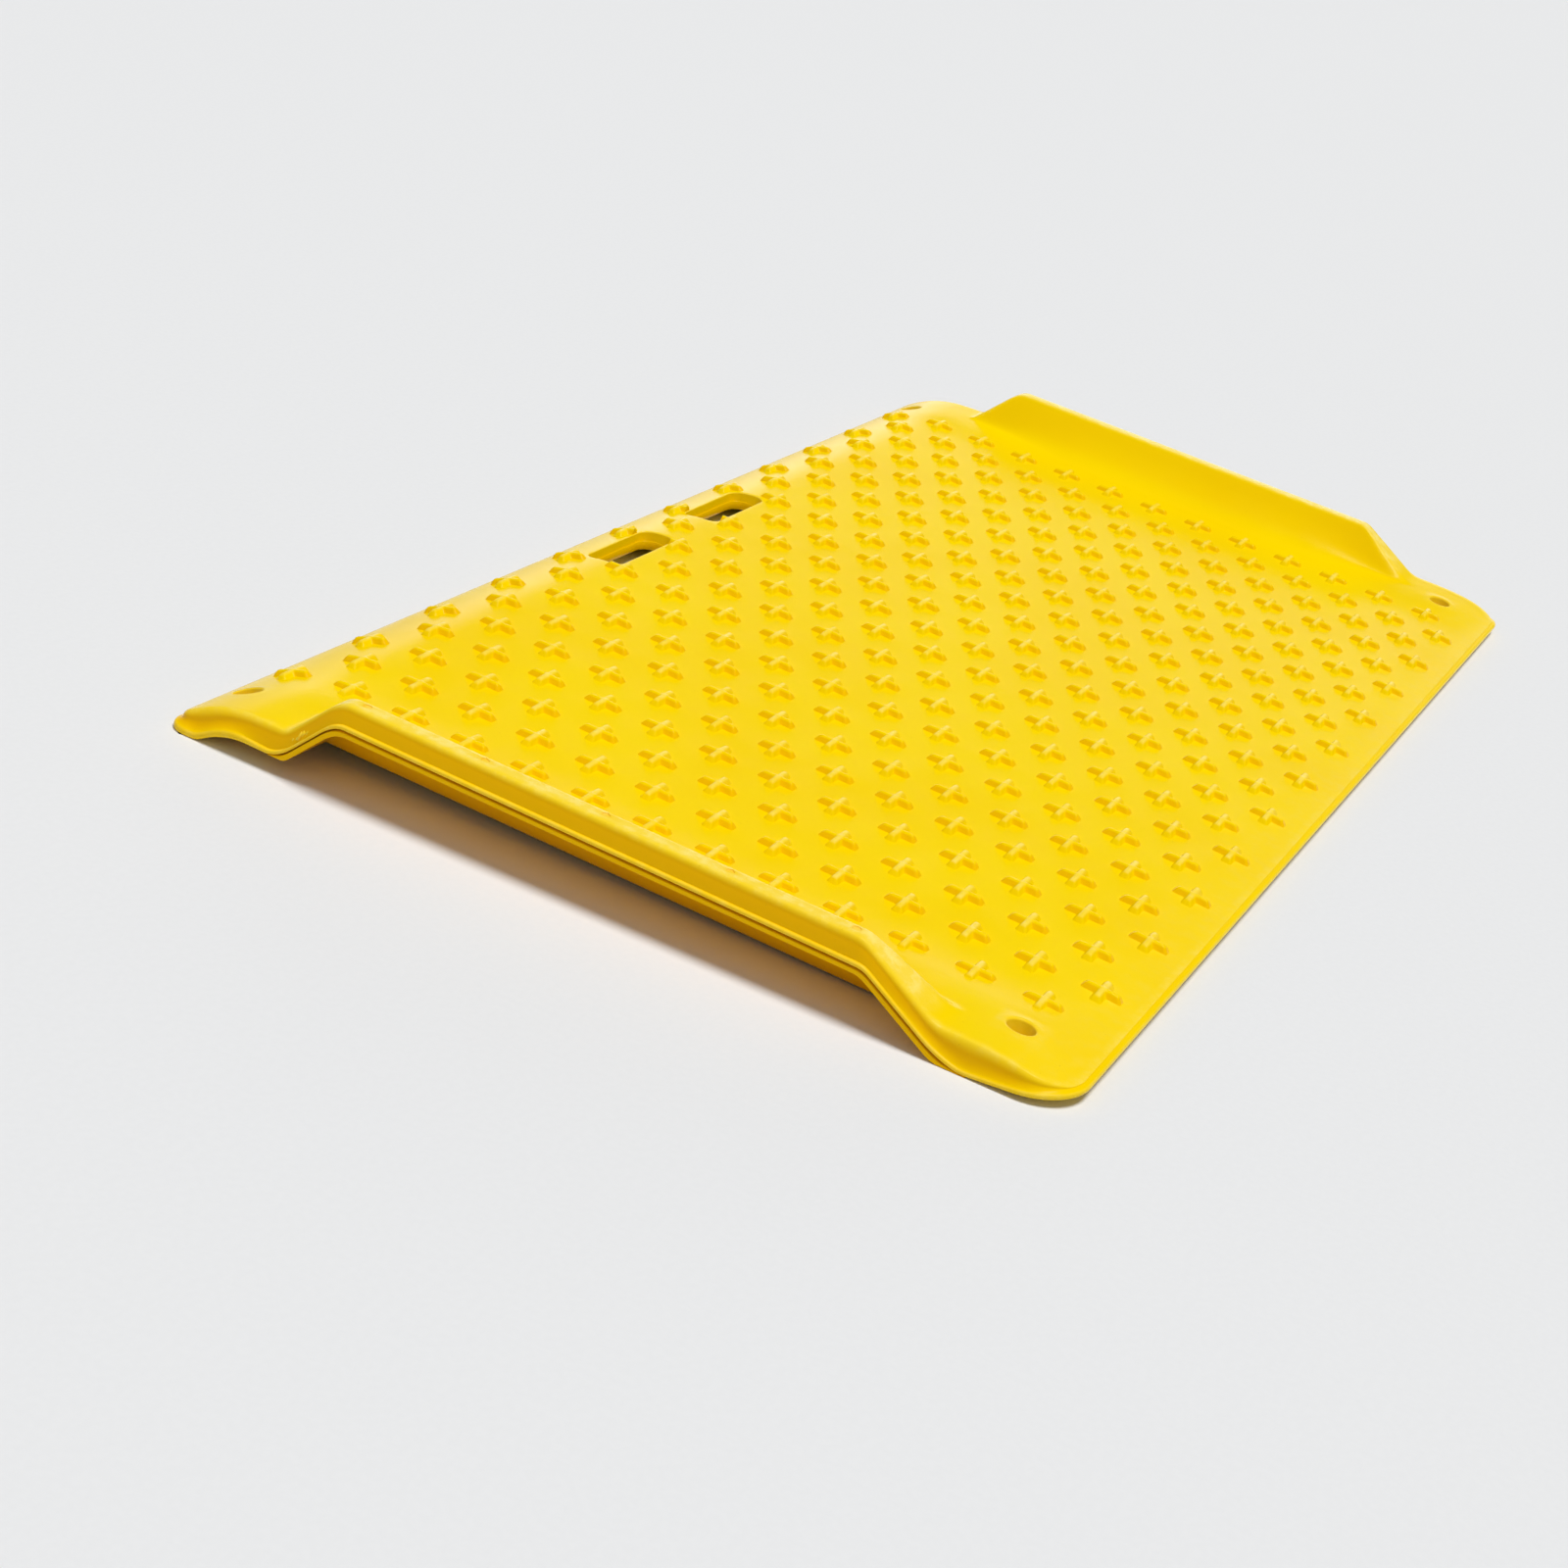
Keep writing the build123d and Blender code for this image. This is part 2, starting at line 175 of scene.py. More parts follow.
# Painted shade on the wings under the rails, less on the strip's face by STRIP_PALER
WING_SHADE_OVER = (540.0, 556.0)
GROOVE_HEIGHT = 1.2
GROOVE_DEPTH = 6.0
GROOVE_OVER = (0.5, 4.5)
GROOVE_STEP = 0.05
STRIP_HEIGHT = 2.9
STRIP_LEAST = 0.2
STRIP_ROUND = 0.8
STRIP_ROUND_LINES = 5
STRIP_ROUND_MOST = 0.45
STRIP_PALER = 0.35
STRIP_PALER_OVER = (WIDTH / 2 - 4.0, WIDTH / 2 - 1.0)

# Tack-off channels of the lower skin
CHANNEL_PITCH = 190.0
CHANNEL_COUNT = 6
CHANNEL_HALF = 17.2
CHANNEL_DEPTH = 4.0
CHANNEL_DRAFT = 2.3
CHANNEL_END = 110.0

# Tread studs; their grid lines are runs of (end, step) out from a bar's middle and about its end
STUD_ROW = 22.05
STUD_COLUMN = 91.8
STUD_LIP_SETBACK = 26.5
STUD_ROWS = 26
STUD_LONG_ROW = 12
STUD_LENGTH = 27.0
STUD_SPAN = 29.0
STUD_BAR = 8.0
STUD_REACH = 4.3
STUD_HEIGHT = 4.1
STUD_FLANK = 2.5
STUD_HIP = 3.2
STUD_SOFT = 1.4
STUD_SINK = 0.5
STUD_BAR_LINES = ((0.65, 0.65), (2.35, 0.6), (STUD_REACH, 1.0))
STUD_END_LINES = ((-4.4, 10.0), (-2.0, 1.2), (0.4, 2.4))
# The top of the bar across the slope is paler, scuffing with a painted highlight; the bar up the slope
# has painted shade below its top
STUD_TOP_WEAR_AND_HIGHLIGHT = 0.6
STUD_TOP_WEAR_AND_HIGHLIGHT_OVER = (0.75 * STUD_HEIGHT, 0.95 * STUD_HEIGHT)
STUD_SHADE = 0.5
STUD_SHADE_OVER = (0.4, 1.6)
STUD_BAR_OVER = (-0.5, 0.5)

# Hand-holds; the lower skin's rings are pairs of growth and rise
GRIP_LENGTH = 96.0
GRIP_WIDTH = 29.0
GRIP_CORNER = 9.0
GRIP_SIDE = 82.0
GRIP_FROM_TOE = 560.5
GRIP_REACH = (GRIP_LENGTH / 2 + 4.0, GRIP_WIDTH / 2 + 4.0)
GRIP_ROLL = 1.0
GRIP_ROLL_LOOPS = 6
GRIP_DRAFT = 2.5
GRIP_DEPTH = DECK_SKIN + BASE_SKIN - 0.5
GRIP_CHAMFER = 0.6
GRIP_COLLAR = 4.5
GRIP_CLEAR = 0.1
GRIP_STEP = 4.0
GRIP_STEP_DROP = 6.0
GRIP_STEP_RISE = SLAB - GRIP_STEP_DROP
GRIP_LOW_CORNER = 10.0
GRIP_LOW_RINGS = (
    (1.2, 0.0), (0.3, 0.4), (0.0, 1.2), (1.0, GRIP_STEP_RISE - 0.3), (1.2, GRIP_STEP_RISE),
)
GRIP_WEAR = 0.25
# Painted shade down the hand-holds' walls, more in the lower skin
GRIP_SHADE = 0.2
GRIP_LOW_SHADE = 0.5

# Fixing holes; a raised ring is its width and its height
FIXING_RADIUS = 8.75
FIXING_SIDE = 550.0
FIXING_TOE = 52.0
FIXING_TOE_REACH = (FIXING_RADIUS + 7.0, FIXING_RADIUS + 7.0)
FIXING_TOE_RING = (6.0, 0.3)
FIXING_LIP = 586.5
FIXING_LIP_REACH = (FIXING_RADIUS + 4.0, FIXING_RADIUS + 4.0)
FIXING_LIP_RING = (3.4, 0.2)
FIXING_RING_SHARES = (1.0, 0.75, 0.5, 0.3)
FIXING_RING_CLIMB = 1.6
FIXING_EDGE = 1.6
FIXING_EDGE_TURNS = np.linspace(0.2, 1.4, 5)
FIXING_TAPER = 3.0
FIXING_TAPER_END = 0.8
FIXING_LAND = 0.2
FIXING_BOSS = 13.75
FIXING_BOSS_CORNER = 2.0
FIXING_WEAR = 0.2
# Painted shade where the hole's edge turns down into the bore
FIXING_SHADE = 0.1

# Small round mould marks on the near rail's crest; a ring is its growth, drop and share of painted
# shade in the dimple
MARK_PLACES = (151.5, 233.5, 316.5, 399.5, 483.0)
MARK_SIDE = -586.0
MARK_RADIUS = 2.9
MARK_REACH = (MARK_RADIUS + 0.4, MARK_RADIUS + 1.0)
MARK_RINGS = ((0.0, 0.0, 0.2), (-0.25, 0.3, 1.0), (-0.5, 0.55, 1.0), (-0.9, 0.6, 0.3))
MARK_WEAR = 0.4

# Crumbs of flash on the near side's parting line, below the rail's lip end
FLASH_START = 509.0
FLASH_END = 525.0
FLASH_SIZE = 2.8
FLASH_TALL = 1.3
FLASH_TIP = 0.03
FLASH_RISE = 6.5
FLASH_WAVE = 0.5
FLASH_WAVES = 17.0
FLASH_LUMPS = (9.0, 23.0)
FLASH_ROUND = 10
FLASH_LOOPS = 28
FLASH_WEAR = 0.3
# A little painted shade on the crumbs
FLASH_SHADE = 0.1

# How the ramp lies on the floor, on its lip's rim and its toe's heel
TILT = math.atan2(LIP_DEPTH - SLAB, LENGTH - RIM_REACH - TOE_HEEL)
DECK_HEIGHT = SLAB * math.cos(TILT) - TOE_HEEL * math.sin(TILT) - REST_LAND
DECK_SETBACK = -(LENGTH * math.cos(TILT) + LIP_DEPTH * math.sin(TILT)) / 2

# Colours and finish; a noise is its scale in cycles per metre, its detail and, if set, its roughness
YELLOW = (0.96, 0.68, 0.0, 1.0)
YELLOW_CLOUD = (0.95, 0.65, 0.0, 1.0)
# Deeper orange painted where shade falls: walls, flanks, recesses and the wings underneath
YELLOW_SHADED = (0.93, 0.46, 0.0, 1.0)
# Pale scuffed colour, on the rails' and studs' tops also a painted highlight
YELLOW_SCUFF_AND_HIGHLIGHT = (0.99, 0.80, 0.20, 1.0)
YELLOW_SPECK = (0.62, 0.36, 0.01, 1.0)
CLOUD_NOISE = (7.0, 3.0)
CLOUD_OVER = (0.35, 0.7)
SCUFF_NOISE = (95.0, 6.0, 0.65)
SCUFF_OVER = (0.4, 0.7)
SCUFF_LEAST = 0.3
SPECK_NOISE = (620.0, 2.0)
SPECK_OVER = (0.72, 0.8)
SPECK_MOST = 0.5
ROUGH_NOISE = (34.0, 4.0)
ROUGH_OVER = (0.3, 0.7)
ROUGHNESS = (0.15, 0.23)
SKIN_IOR = 1.5
SKIN_SPECULAR = 0.04
PEEL_NOISE = (260.0, 2.0)
PEEL_STRENGTH = 0.07
PEEL_DEPTH = 0.001
GRAIN_NOISE = (1500.0, 2.0)
GRAIN_STRENGTH = 0.12
GRAIN_DEPTH = 0.0003
FLOOR_PALE = (0.79, 0.795, 0.80, 1.0)
FLOOR_LIGHT = (0.80, 0.805, 0.81, 1.0)
FLOOR_NOISE = (220.0, 3.0)
FLOOR_OVER = (0.3, 0.7)
FLOOR_ROUGHNESS = 0.9
FLOOR_SPECULAR = 0.2

# Numbers of a colour mix node's sockets
MIX_SHARE = 0
MIX_FIRST = 6
MIX_SECOND = 7
MIX_RESULT = 2

# Stage, light and camera in metres; the sky's steps run along x, y or z of the direction looked in
FLOOR_HALF = 30.0
FLOOR_CELLS = 8
FLOOR_DROP = 0.0002
SUN_FROM = (0.02, -0.20, 0.98)
SUN_STRENGTH = 2.65
SUN_ANGLE = math.radians(22.0)
SKY_COLOUR = (0.98, 0.99, 1.0, 1.0)
SKY_NEAR = 0.35
SKY_FAR = 0.06
SKY_X_OVER = (-0.7, 0.5)
GLOW = 1.9
GLOW_X_OVER = (0.1, 0.9)
GLOW_Y_OVER = (-0.15, 0.15)
GLOW_Z_OVER = (0.2, 0.36)
GLOW_LIP_SHARE = 0.4
GLOW_LIP_Y_OVER = (0.5, 0.62)
HORIZON = 0.82
HORIZON_Z_OVER = (0.06, 0.12)
CAMERA_PLACE = (-1.972, -0.5806, 0.7455)
CAMERA_RIGHT = (0.41533, -0.87999, 0.23048)
CAMERA_DOWN = (-0.27503, -0.36298, -0.89028)
CAMERA_FORWARD = (0.86710, 0.30638, -0.39278)
CAMERA_LENS = 65.45
CAMERA_SENSOR = 36.0
CAMERA_SIGHT = 200.0


# Plain helpers

def to_world(points):
    """Points of the deck's own frame as world points in metres, none below the floor."""
    x, y, n = np.asarray(points, float).T
    across = DECK_SETBACK + y * math.cos(TILT) - n * math.sin(TILT)
    up = DECK_HEIGHT + y * math.sin(TILT) + n * math.cos(TILT)
    return np.stack([x, across, np.maximum(up, 0.0)], axis=-1) * MM


def smooth_min(a, b, soft):
    """Lower of two heights, rounded where they meet."""
    share = np.clip(0.5 + 0.5 * (b - a) / soft, 0.0, 1.0)
    return b + (a - b) * share - soft * share * (1.0 - share)


def smooth_max(a, b, soft):
    """Higher of two heights, rounded where they meet."""
    return -smooth_min(-a, -b, soft)


def ease(value, start, end):
    """Smooth step from 0 to 1 between a start and an end."""
    share = np.clip((value - start) / (end - start), 0.0, 1.0)
    return share * share * (3.0 - 2.0 * share)


def settle(value, start, end):
    """Step from 0 to 1 that starts steep and levels off at its end."""
    share = np.clip((value - start) / (end - start), 0.0, 1.0)
    return share * (2.0 - share)


def lines(start, *runs):
    """Grid lines from a start through runs of (end, step)."""
    places = [start]
    for end, step in runs:
        count = max(1, round(abs(end - places[-1]) / step))
        places.extend(np.linspace(places[-1], end, count + 1)[1:])
    return np.array(places)


def mirrored(half):
    """Lines of one half, from 0 outward, as lines of both halves."""
    return np.concatenate([-half[:0:-1], half])


# Heights of the upper skin

def edge_distance(x, y):
    """Distance in from the plan outline with its rounded corners."""
    corner = np.where(y > LENGTH / 2, LIP_CORNER, TOE_CORNER)
    beside = np.abs(x) - (WIDTH / 2 - corner)
    ahead = np.abs(y - LENGTH / 2) - (LENGTH / 2 - corner)
    outside = np.hypot(np.maximum(beside, 0.0), np.maximum(ahead, 0.0))
    return corner - outside - np.minimum(np.maximum(beside, ahead), 0.0)


def curl_level(y, drop):
    """Height of the flat plate lowered by a drop, curled down round the lip's axis."""
    radius = LIP_RADIUS - drop
    past = np.clip(y - LIP_START, 0.0, CURL_SHARE * radius)
    return np.sqrt(radius ** 2 - past ** 2) - LIP_RADIUS


def tread_level(x, y):
    """How far the tread stands proud of flat, less how far it is hollow in its middle."""
    across = np.clip(1.0 - (np.abs(x) / DISH_HALF) ** 3, 0.0, 1.0)
    up = np.clip(1.0 - ((y - DISH_MIDDLE) / DISH_MIDDLE) ** 2, 0.0, 1.0)
    proud = ease(y, *PLATE_TOE_OVER) * (1.0 - ease(y, *PLATE_LIP_OVER))
    proud = proud * (1.0 - ease(np.abs(x), *PLATE_SIDE_OVER))
    return PLATE_RISE * proud - DISH_DEPTH * across * up


def side_level(x, y):
    """How far the tread rises along its sides."""
    toe = TOE_RISE * settle(y, *TOE_RISE_OVER)
    lip = LIP_RISE * settle(LENGTH - y, *LIP_RISE_OVER)
    side = toe + (lip - toe) * ease(y, *RISE_CHANGE_OVER)
    return side * ease(np.abs(x), SIDE_START, WIDTH / 2)


def deck_level(x, y):
    """Top face of the tread plate."""
    return curl_level(y, 0.0) + tread_level(x, y) + side_level(x, y)


def rail_middle(y, toe_over):
    """Share that climbs to 1 at a rail's toe end and falls back to 0 at its lip end."""
    return ease(y, *toe_over) * (1.0 - ease(y, *RAIL_LIP_OVER))


def rail_faces(x, y):
    """Heights of a rail's inner slope, steeper at its ends, and of its side outline."""
    slope = RAIL_END_SLOPE + (RAIL_INNER_SLOPE - RAIL_END_SLOPE) * rail_middle(y, RAIL_SLOPE_OVER)
    inner = RAIL_HEIGHT + (np.abs(x) - RAIL_CREST_IN) * slope
    toe = RAIL_HEIGHT + (y - RAIL_CREST_TOE) * RAIL_TOE_SLOPE
    lip = RAIL_HEIGHT - (y - RAIL_CREST_LIP) * RAIL_LIP_SLOPE
    outline = smooth_min(smooth_min(RAIL_HEIGHT, toe, TOE_BEND), lip, LIP_BEND)
    return inner, outline


def rail_hip(y):
    """Height over which a rail's inner slope rounds into its top, softer down its toe end."""
    return RAIL_TOE_HIP + (RAIL_HIP - RAIL_TOE_HIP) * ease(y, *RAIL_HIP_OVER)


def top_level(x, y):
    """Top face of the upper skin: plate, lip and rails, without their rolled edges."""
    inner, outline = rail_faces(x, y)
    inside = rail_middle(y, FOOT_TOE_OVER) * ease(outline - inner, *FOOT_HEIGHT_OVER)
    foot = FOOT_END + (FOOT_INNER - FOOT_END) * inside
    return smooth_max(deck_level(x, y), smooth_min(inner, outline, rail_hip(y)), foot)


def under_level(y):
    """Underside of the toe wedge, the plate and the lip's rim."""
    wedge = -TOE_EDGE - (SLAB - TOE_EDGE) * np.clip(y / TOE_HEEL, 0.0, 1.0)
    past = np.clip(y - LIP_START, 0.0, LIP_UNDER_RADIUS)
    curl = np.sqrt(LIP_UNDER_RADIUS ** 2 - past ** 2) - LIP_UNDER_RADIUS
    return smooth_max(wedge + curl, -LIP_DEPTH, LIP_UNDER_BLEND)


def rim_line(y, depth):
    """Side outline of the rim over the rails' hollows, cut back square to its faces by a depth."""
    climb = (RIM_LIP_LEVEL - RIM_TOE_LEVEL) / (RIM_LIP - RIM_TOE)
    level = RIM_TOE_LEVEL + (y - RIM_TOE) * climb - depth
    toe = RIM_TOE_LEVEL + (y - RIM_TOE) * RAIL_TOE_SLOPE - depth * math.hypot(1.0, RAIL_TOE_SLOPE)
    lip = RIM_LIP_LEVEL - (y - RIM_LIP) * RAIL_LIP_SLOPE - depth * math.hypot(1.0, RAIL_LIP_SLOPE)
    return smooth_min(smooth_min(level, toe, TOE_BEND), lip, LIP_BEND)


def rim_level(y):
    """Bottom of the rim all round the upper skin."""
    return smooth_max(under_level(y), rim_line(y, 0.0), RIM_MERGE)


def hollow_level(x, y):
    """Ceiling of the hollow under the upper skin, or the toe wedge's underside."""
    return np.where(y < TOE_SOLID, under_level(y), top_level(x, y) - DECK_SKIN)


# Mesh gathering

def cells_of(sheet):
    """Corners of every cell of a sheet of point numbers."""
    return np.stack([sheet[:-1, :-1], sheet[1:, :-1], sheet[1:, 1:], sheet[:-1, 1:]], axis=-1)


def middles_of(sheet):
    """Middle of every cell of a sheet of places."""
    return (sheet[:-1, :-1] + sheet[1:, 1:]) / 2


def round_of(sheet):
    """Closed loop round a sheet of places or of point numbers."""
    return np.concatenate([sheet[:-1, 0], sheet[-1, :-1], sheet[:0:-1, -1], sheet[0, :0:-1]])


class Skin:
    """Points and faces of one piece, gathered in the deck's own frame."""

    def __init__(self):
        self.points = []
        # Per-point marks: scuffing, which is also a painted highlight on some tops, and painted shade
        self.marks = {"wear_and_highlight": [], "deep": []}
        self.faces = []
        self.count = 0

    def add(self, x, y, n, wear_and_highlight=0.0, deep=0.0):
        """Adds points and returns their numbers in the same layout."""
        x, y, n, wear_and_highlight, deep = np.broadcast_arrays(x, y, n, wear_and_highlight, deep)
        self.points.append(np.stack([x, y, n], axis=-1).reshape(-1, 3))
        self.marks["wear_and_highlight"].append(wear_and_highlight.ravel())
        self.marks["deep"].append(deep.ravel())
        numbers = self.count + np.arange(x.size).reshape(x.shape)
        self.count += x.size
        return numbers

    def patch(self, sheet, keep):
        """Quads over the kept cells of a sheet of points."""
        self.faces.extend(cells_of(sheet)[keep].tolist())

    def strips(self, loops):
        """Quads between each closed loop of points and the next."""
        for near, far in zip(loops, loops[1:]):
            quads = np.stack([near, np.roll(near, -1), np.roll(far, -1), far], axis=-1)
            self.faces.extend(quads.tolist())

    def disc(self, loop):
        """Closes a loop with one face."""
        self.faces.append(loop.tolist())

    def build(self, name, material, closed):
        """The piece as a smooth mesh object in the scene, with its marks kept per point."""
        mesh = bpy.data.meshes.new(name)
        mesh.from_pydata(to_world(np.concatenate(self.points)).tolist(), [], self.faces)
        for mark, values in self.marks.items():
            kept = mesh.attributes.new(mark, "FLOAT", "POINT")
            kept.data.foreach_set("value", np.concatenate(values).astype(np.float32))
        form = bmesh.new()
        form.from_mesh(mesh)
        bmesh.ops.delete(form, geom=[v for v in form.verts if not v.link_faces], context="VERTS")
        if closed:
            bmesh.ops.recalc_face_normals(form, faces=form.faces)
        form.to_mesh(mesh)
        form.free()
        mesh.shade_smooth()
        mesh.set_sharp_from_angle(angle=SHARP_ANGLE)
        mesh.materials.append(material)
        piece = bpy.data.objects.new(name, mesh)
        bpy.context.scene.collection.objects.link(piece)
        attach(piece, "root")
        return piece


# Plan of the skins and of their openings

def plan(across, up, inset):
    """Grid points of the plan outline moved in by an inset, with its corners rounded."""
    side_shift = EDGE_START - inset
    x, y = np.meshgrid(across, up, indexing="ij")
    outer = ease(np.abs(x), WIDTH / 2 - inset - EDGE_EASE, WIDTH / 2 - EDGE_START)
    x = x + np.sign(x) * side_shift * outer
    y = y - side_shift * (1.0 - ease(y, EDGE_START, EDGE_START + EDGE_TOE_EASE))
    y = y + side_shift * ease(y, LENGTH - EDGE_START - EDGE_EASE, LENGTH - EDGE_START)
    for at_lip, corner in ((True, LIP_CORNER), (False, TOE_CORNER)):
        centre_x = WIDTH / 2 - corner
        centre_y = LENGTH - corner if at_lip else corner
        facing = 1.0 if at_lip else -1.0
        u = np.clip((np.abs(x) - centre_x) / (corner - inset), 0.0, 1.0)
        v = np.clip(facing * (y - centre_y) / (corner - inset), 0.0, 1.0)
        inside = (u > 0.0) & (v > 0.0)
        disc_x = centre_x + (corner - inset) * u * np.sqrt(1.0 - v * v / 2)
        disc_y = centre_y + facing * (corner - inset) * v * np.sqrt(1.0 - u * u / 2)
        x = np.where(inside, np.sign(x) * disc_x, x)
        y = np.where(inside, disc_y, y)
    return x, y


def outward(x, y):
    """Direction straight out of the plan outline at points near it."""
    corner = np.where(y > LENGTH / 2, LIP_CORNER, TOE_CORNER)
    core_x = WIDTH / 2 - corner
    from_x = x - np.clip(x, -core_x, core_x)
    from_y = y - np.clip(y, TOE_CORNER, LENGTH - LIP_CORNER)
    reach = np.hypot(from_x, from_y)
    return from_x / reach, from_y / reach


def window(places, middle, reach):
    """Numbers of the grid lines at or just past a reach on both sides of a middle."""
    first = int(np.searchsorted(places, middle - reach + LINE_TOLERANCE) - 1)
    last = int(np.searchsorted(places, middle + reach - LINE_TOLERANCE))
    return first, last


def cut_out(across, up, place, reach):
    """Slices of the cells that an opening takes out of a plan and of the points of those cells."""
    i0, i1 = window(across, place[0], reach[0])
    j0, j1 = window(up, place[1], reach[1])
    return np.s_[i0:i1, j0:j1], np.s_[i0:i1 + 1, j0:j1 + 1]


def hole_edge(x, y, place, halves, corner, grow):
    """Points moved onto a rounded rectangle round a place, grown outward by an amount."""
    core = (halves[0] - corner, halves[1] - corner)
    in_x = np.clip(x - place[0], -core[0], core[0])
    in_y = np.clip(y - place[1], -core[1], core[1])
    from_x = x - place[0] - in_x
    from_y = y - place[1] - in_y
    out = (corner + grow) / np.hypot(from_x, from_y)
    return place[0] + in_x + from_x * out, place[1] + in_y + from_y * out


# Upper skin

def edge_loops(skin, x, y, start):
    """Loops from the top's boundary over the rolled edge, down the flared wall and round the rim, with
    painted shade that grows down the roll and thins towards the rim and the toe.
    """
    out_x, out_y = outward(x, y)
    beside = np.abs(out_x)
    toe = 1.0 - ease(y, *EDGE_TOE_OVER)
    tip = ease(y, *EDGE_LIP_OVER)
    flared = np.maximum(tip, 1.0 - ease(y, *FLARE_OVER))
    # Share of the painted shade that is kept, less near the toe
    shade = 1.0 - EDGE_TOE_PALER * toe
    loops = [start]

    def at(inset):
        step = EDGE_START - inset
        return x + out_x * step, y + out_y * step

    def loop(place, level, wear_and_highlight, deep):
        loops.append(skin.add(*place, level, wear_and_highlight, deep))

    rim = rim_level(at(0.0)[1])
    bead = RIM_THICKNESS + (RIM_TOE_THICKNESS - RIM_THICKNESS) * toe
    bead = bead + (RIM_LIP_THICKNESS - RIM_THICKNESS) * tip
    inset = WALL_INSET + WALL_SCOOP * tip * beside
    foot = WALL_FOOT + (RIM_NOSE - WALL_FOOT) * flared
    rise = np.maximum(top_level(*at(inset)) - rim - bead, WALL_LEAST)
    roll_share = ROLL_SHARE + (ROLL_END_SHARE - ROLL_SHARE) * flared
    roll = np.clip(roll_share * rise, ROLL_LEAST, ROLL_MOST)
    roll_in = ROLL_IN + (ROLL_TOE_IN - ROLL_IN) * flared + (ROLL_LIP_IN - ROLL_TOE_IN) * tip * beside
    roll_in = np.minimum(roll, roll_in)
    for turn in np.linspace(ROLL_TURN, 0.0, ROLL_LOOPS):
        fall = 1.0 - math.sin(turn)
        place = at(inset + roll_in * (1.0 - math.cos(turn)))
        level = top_level(*place) - roll * fall
        loop(place, level, ROLL_WEAR * math.sin(turn) ** 2, WALL_SHADE * shade * fall)
    for fall in np.linspace(0.0, 1.0, WALL_LOOPS)[1:]:
        flare = flared * fall ** 2 + (1.0 - flared) * (1.0 - (1.0 - fall) ** WALL_BOW)
        place = at(inset + (foot - inset) * flare)
        level = rim + bead + (rise - roll) * (1.0 - fall)
        loop(place, level, 0.0, shade * (WALL_SHADE + (RIM_SHADE - WALL_SHADE) * fall ** 3))
    for turn in np.linspace(math.pi / 2, -math.pi / 2, RIM_LOOPS)[1:]:
        place = at(RIM_NOSE * (1.0 - math.cos(turn)))
        level = rim + bead / 2 * (1.0 + math.sin(turn))
        loop(place, level, RIM_WEAR, RIM_SHADE * shade)
    return loops


def fixing_rings(place, at_lip):
    """Rings of a fixing hole: a low raised ring, the bore and, at the lip, its boss."""
    halves = (FIXING_RADIUS, FIXING_RADIUS)
    spread, swell = FIXING_LIP_RING if at_lip else FIXING_TOE_RING
    floor = -LIP_DEPTH if at_lip else float(under_level(place[1]))

    def rings(skin, x, y):
        loops = []

        def ring(grow, level, deep):
            px, py = hole_edge(x, y, place, halves, FIXING_RADIUS, grow)
            loops.append(skin.add(px, py, top_level(px, py) + level, FIXING_WEAR, deep))

        def bore(grow, rise):
            px, py = hole_edge(x, y, place, halves, FIXING_RADIUS, grow)
            loops.append(skin.add(px, py, floor + rise))

        for share in FIXING_RING_SHARES:
            climb = min(1.0, FIXING_RING_CLIMB * (1.0 - share))
            ring(share * spread, swell * math.sin(math.pi / 2 * climb), 0.0)
        # The turn down into the bore takes painted shade
        for turn in FIXING_EDGE_TURNS:
            drop = FIXING_EDGE * (1.0 - math.cos(turn))
            ring(FIXING_EDGE * (1.0 - math.sin(turn)), swell - drop, FIXING_SHADE)
        bore(-FIXING_TAPER, FIXING_TAPER_END)
        bore(0.0, FIXING_LAND)
        if at_lip:
            boss = (FIXING_BOSS, FIXING_BOSS)
            bx, by = hole_edge(x, y, place, boss, FIXING_BOSS_CORNER, 0.0)
            by = np.minimum(by, LENGTH - WALL_INNER - SEAT_GAP)
            loops.append(skin.add(bx, by, floor + FIXING_LAND))
        return loops

    return rings


def grip_rings(place):
    """Rings of a hand-hold: a rolled edge, the collar's wall and its foot, with painted shade down into
    the opening.
    """
    halves = (GRIP_LENGTH / 2, GRIP_WIDTH / 2)

    def rings(skin, x, y):
        loops = []

        def ring(grow, drop, wear_and_highlight=0.0, deep=0.0):
            px, py = hole_edge(x, y, place, halves, GRIP_CORNER, grow)
            loops.append(skin.add(px, py, top_level(px, py) - drop, wear_and_highlight, deep))

        for turn in np.linspace(0.0, math.pi / 2, GRIP_ROLL_LOOPS):
            grow = GRIP_ROLL * (1.0 - math.sin(turn))
            drop = GRIP_ROLL * (1.0 - math.cos(turn))
            ring(grow, drop, GRIP_WEAR * math.sin(2 * turn), GRIP_SHADE * math.sin(turn))
        ring(-GRIP_DRAFT, GRIP_DEPTH - GRIP_CHAMFER, deep=GRIP_SHADE)
        ring(GRIP_CHAMFER - GRIP_DRAFT, GRIP_DEPTH)
        ring(GRIP_COLLAR, GRIP_DEPTH)
        return loops

    return rings


def mark_rings(place):
    """Rings of a shallow round dimple that the mould leaves, with painted shade in it."""
    halves = (MARK_RADIUS, MARK_RADIUS)

    def rings(skin, x, y):
        loops = []
        for grow, drop, deep in MARK_RINGS:
            px, py = hole_edge(x, y, place, halves, MARK_RADIUS, grow)
            loops.append(skin.add(px, py, top_level(px, py) - drop, MARK_WEAR, deep))
        return loops

    return rings


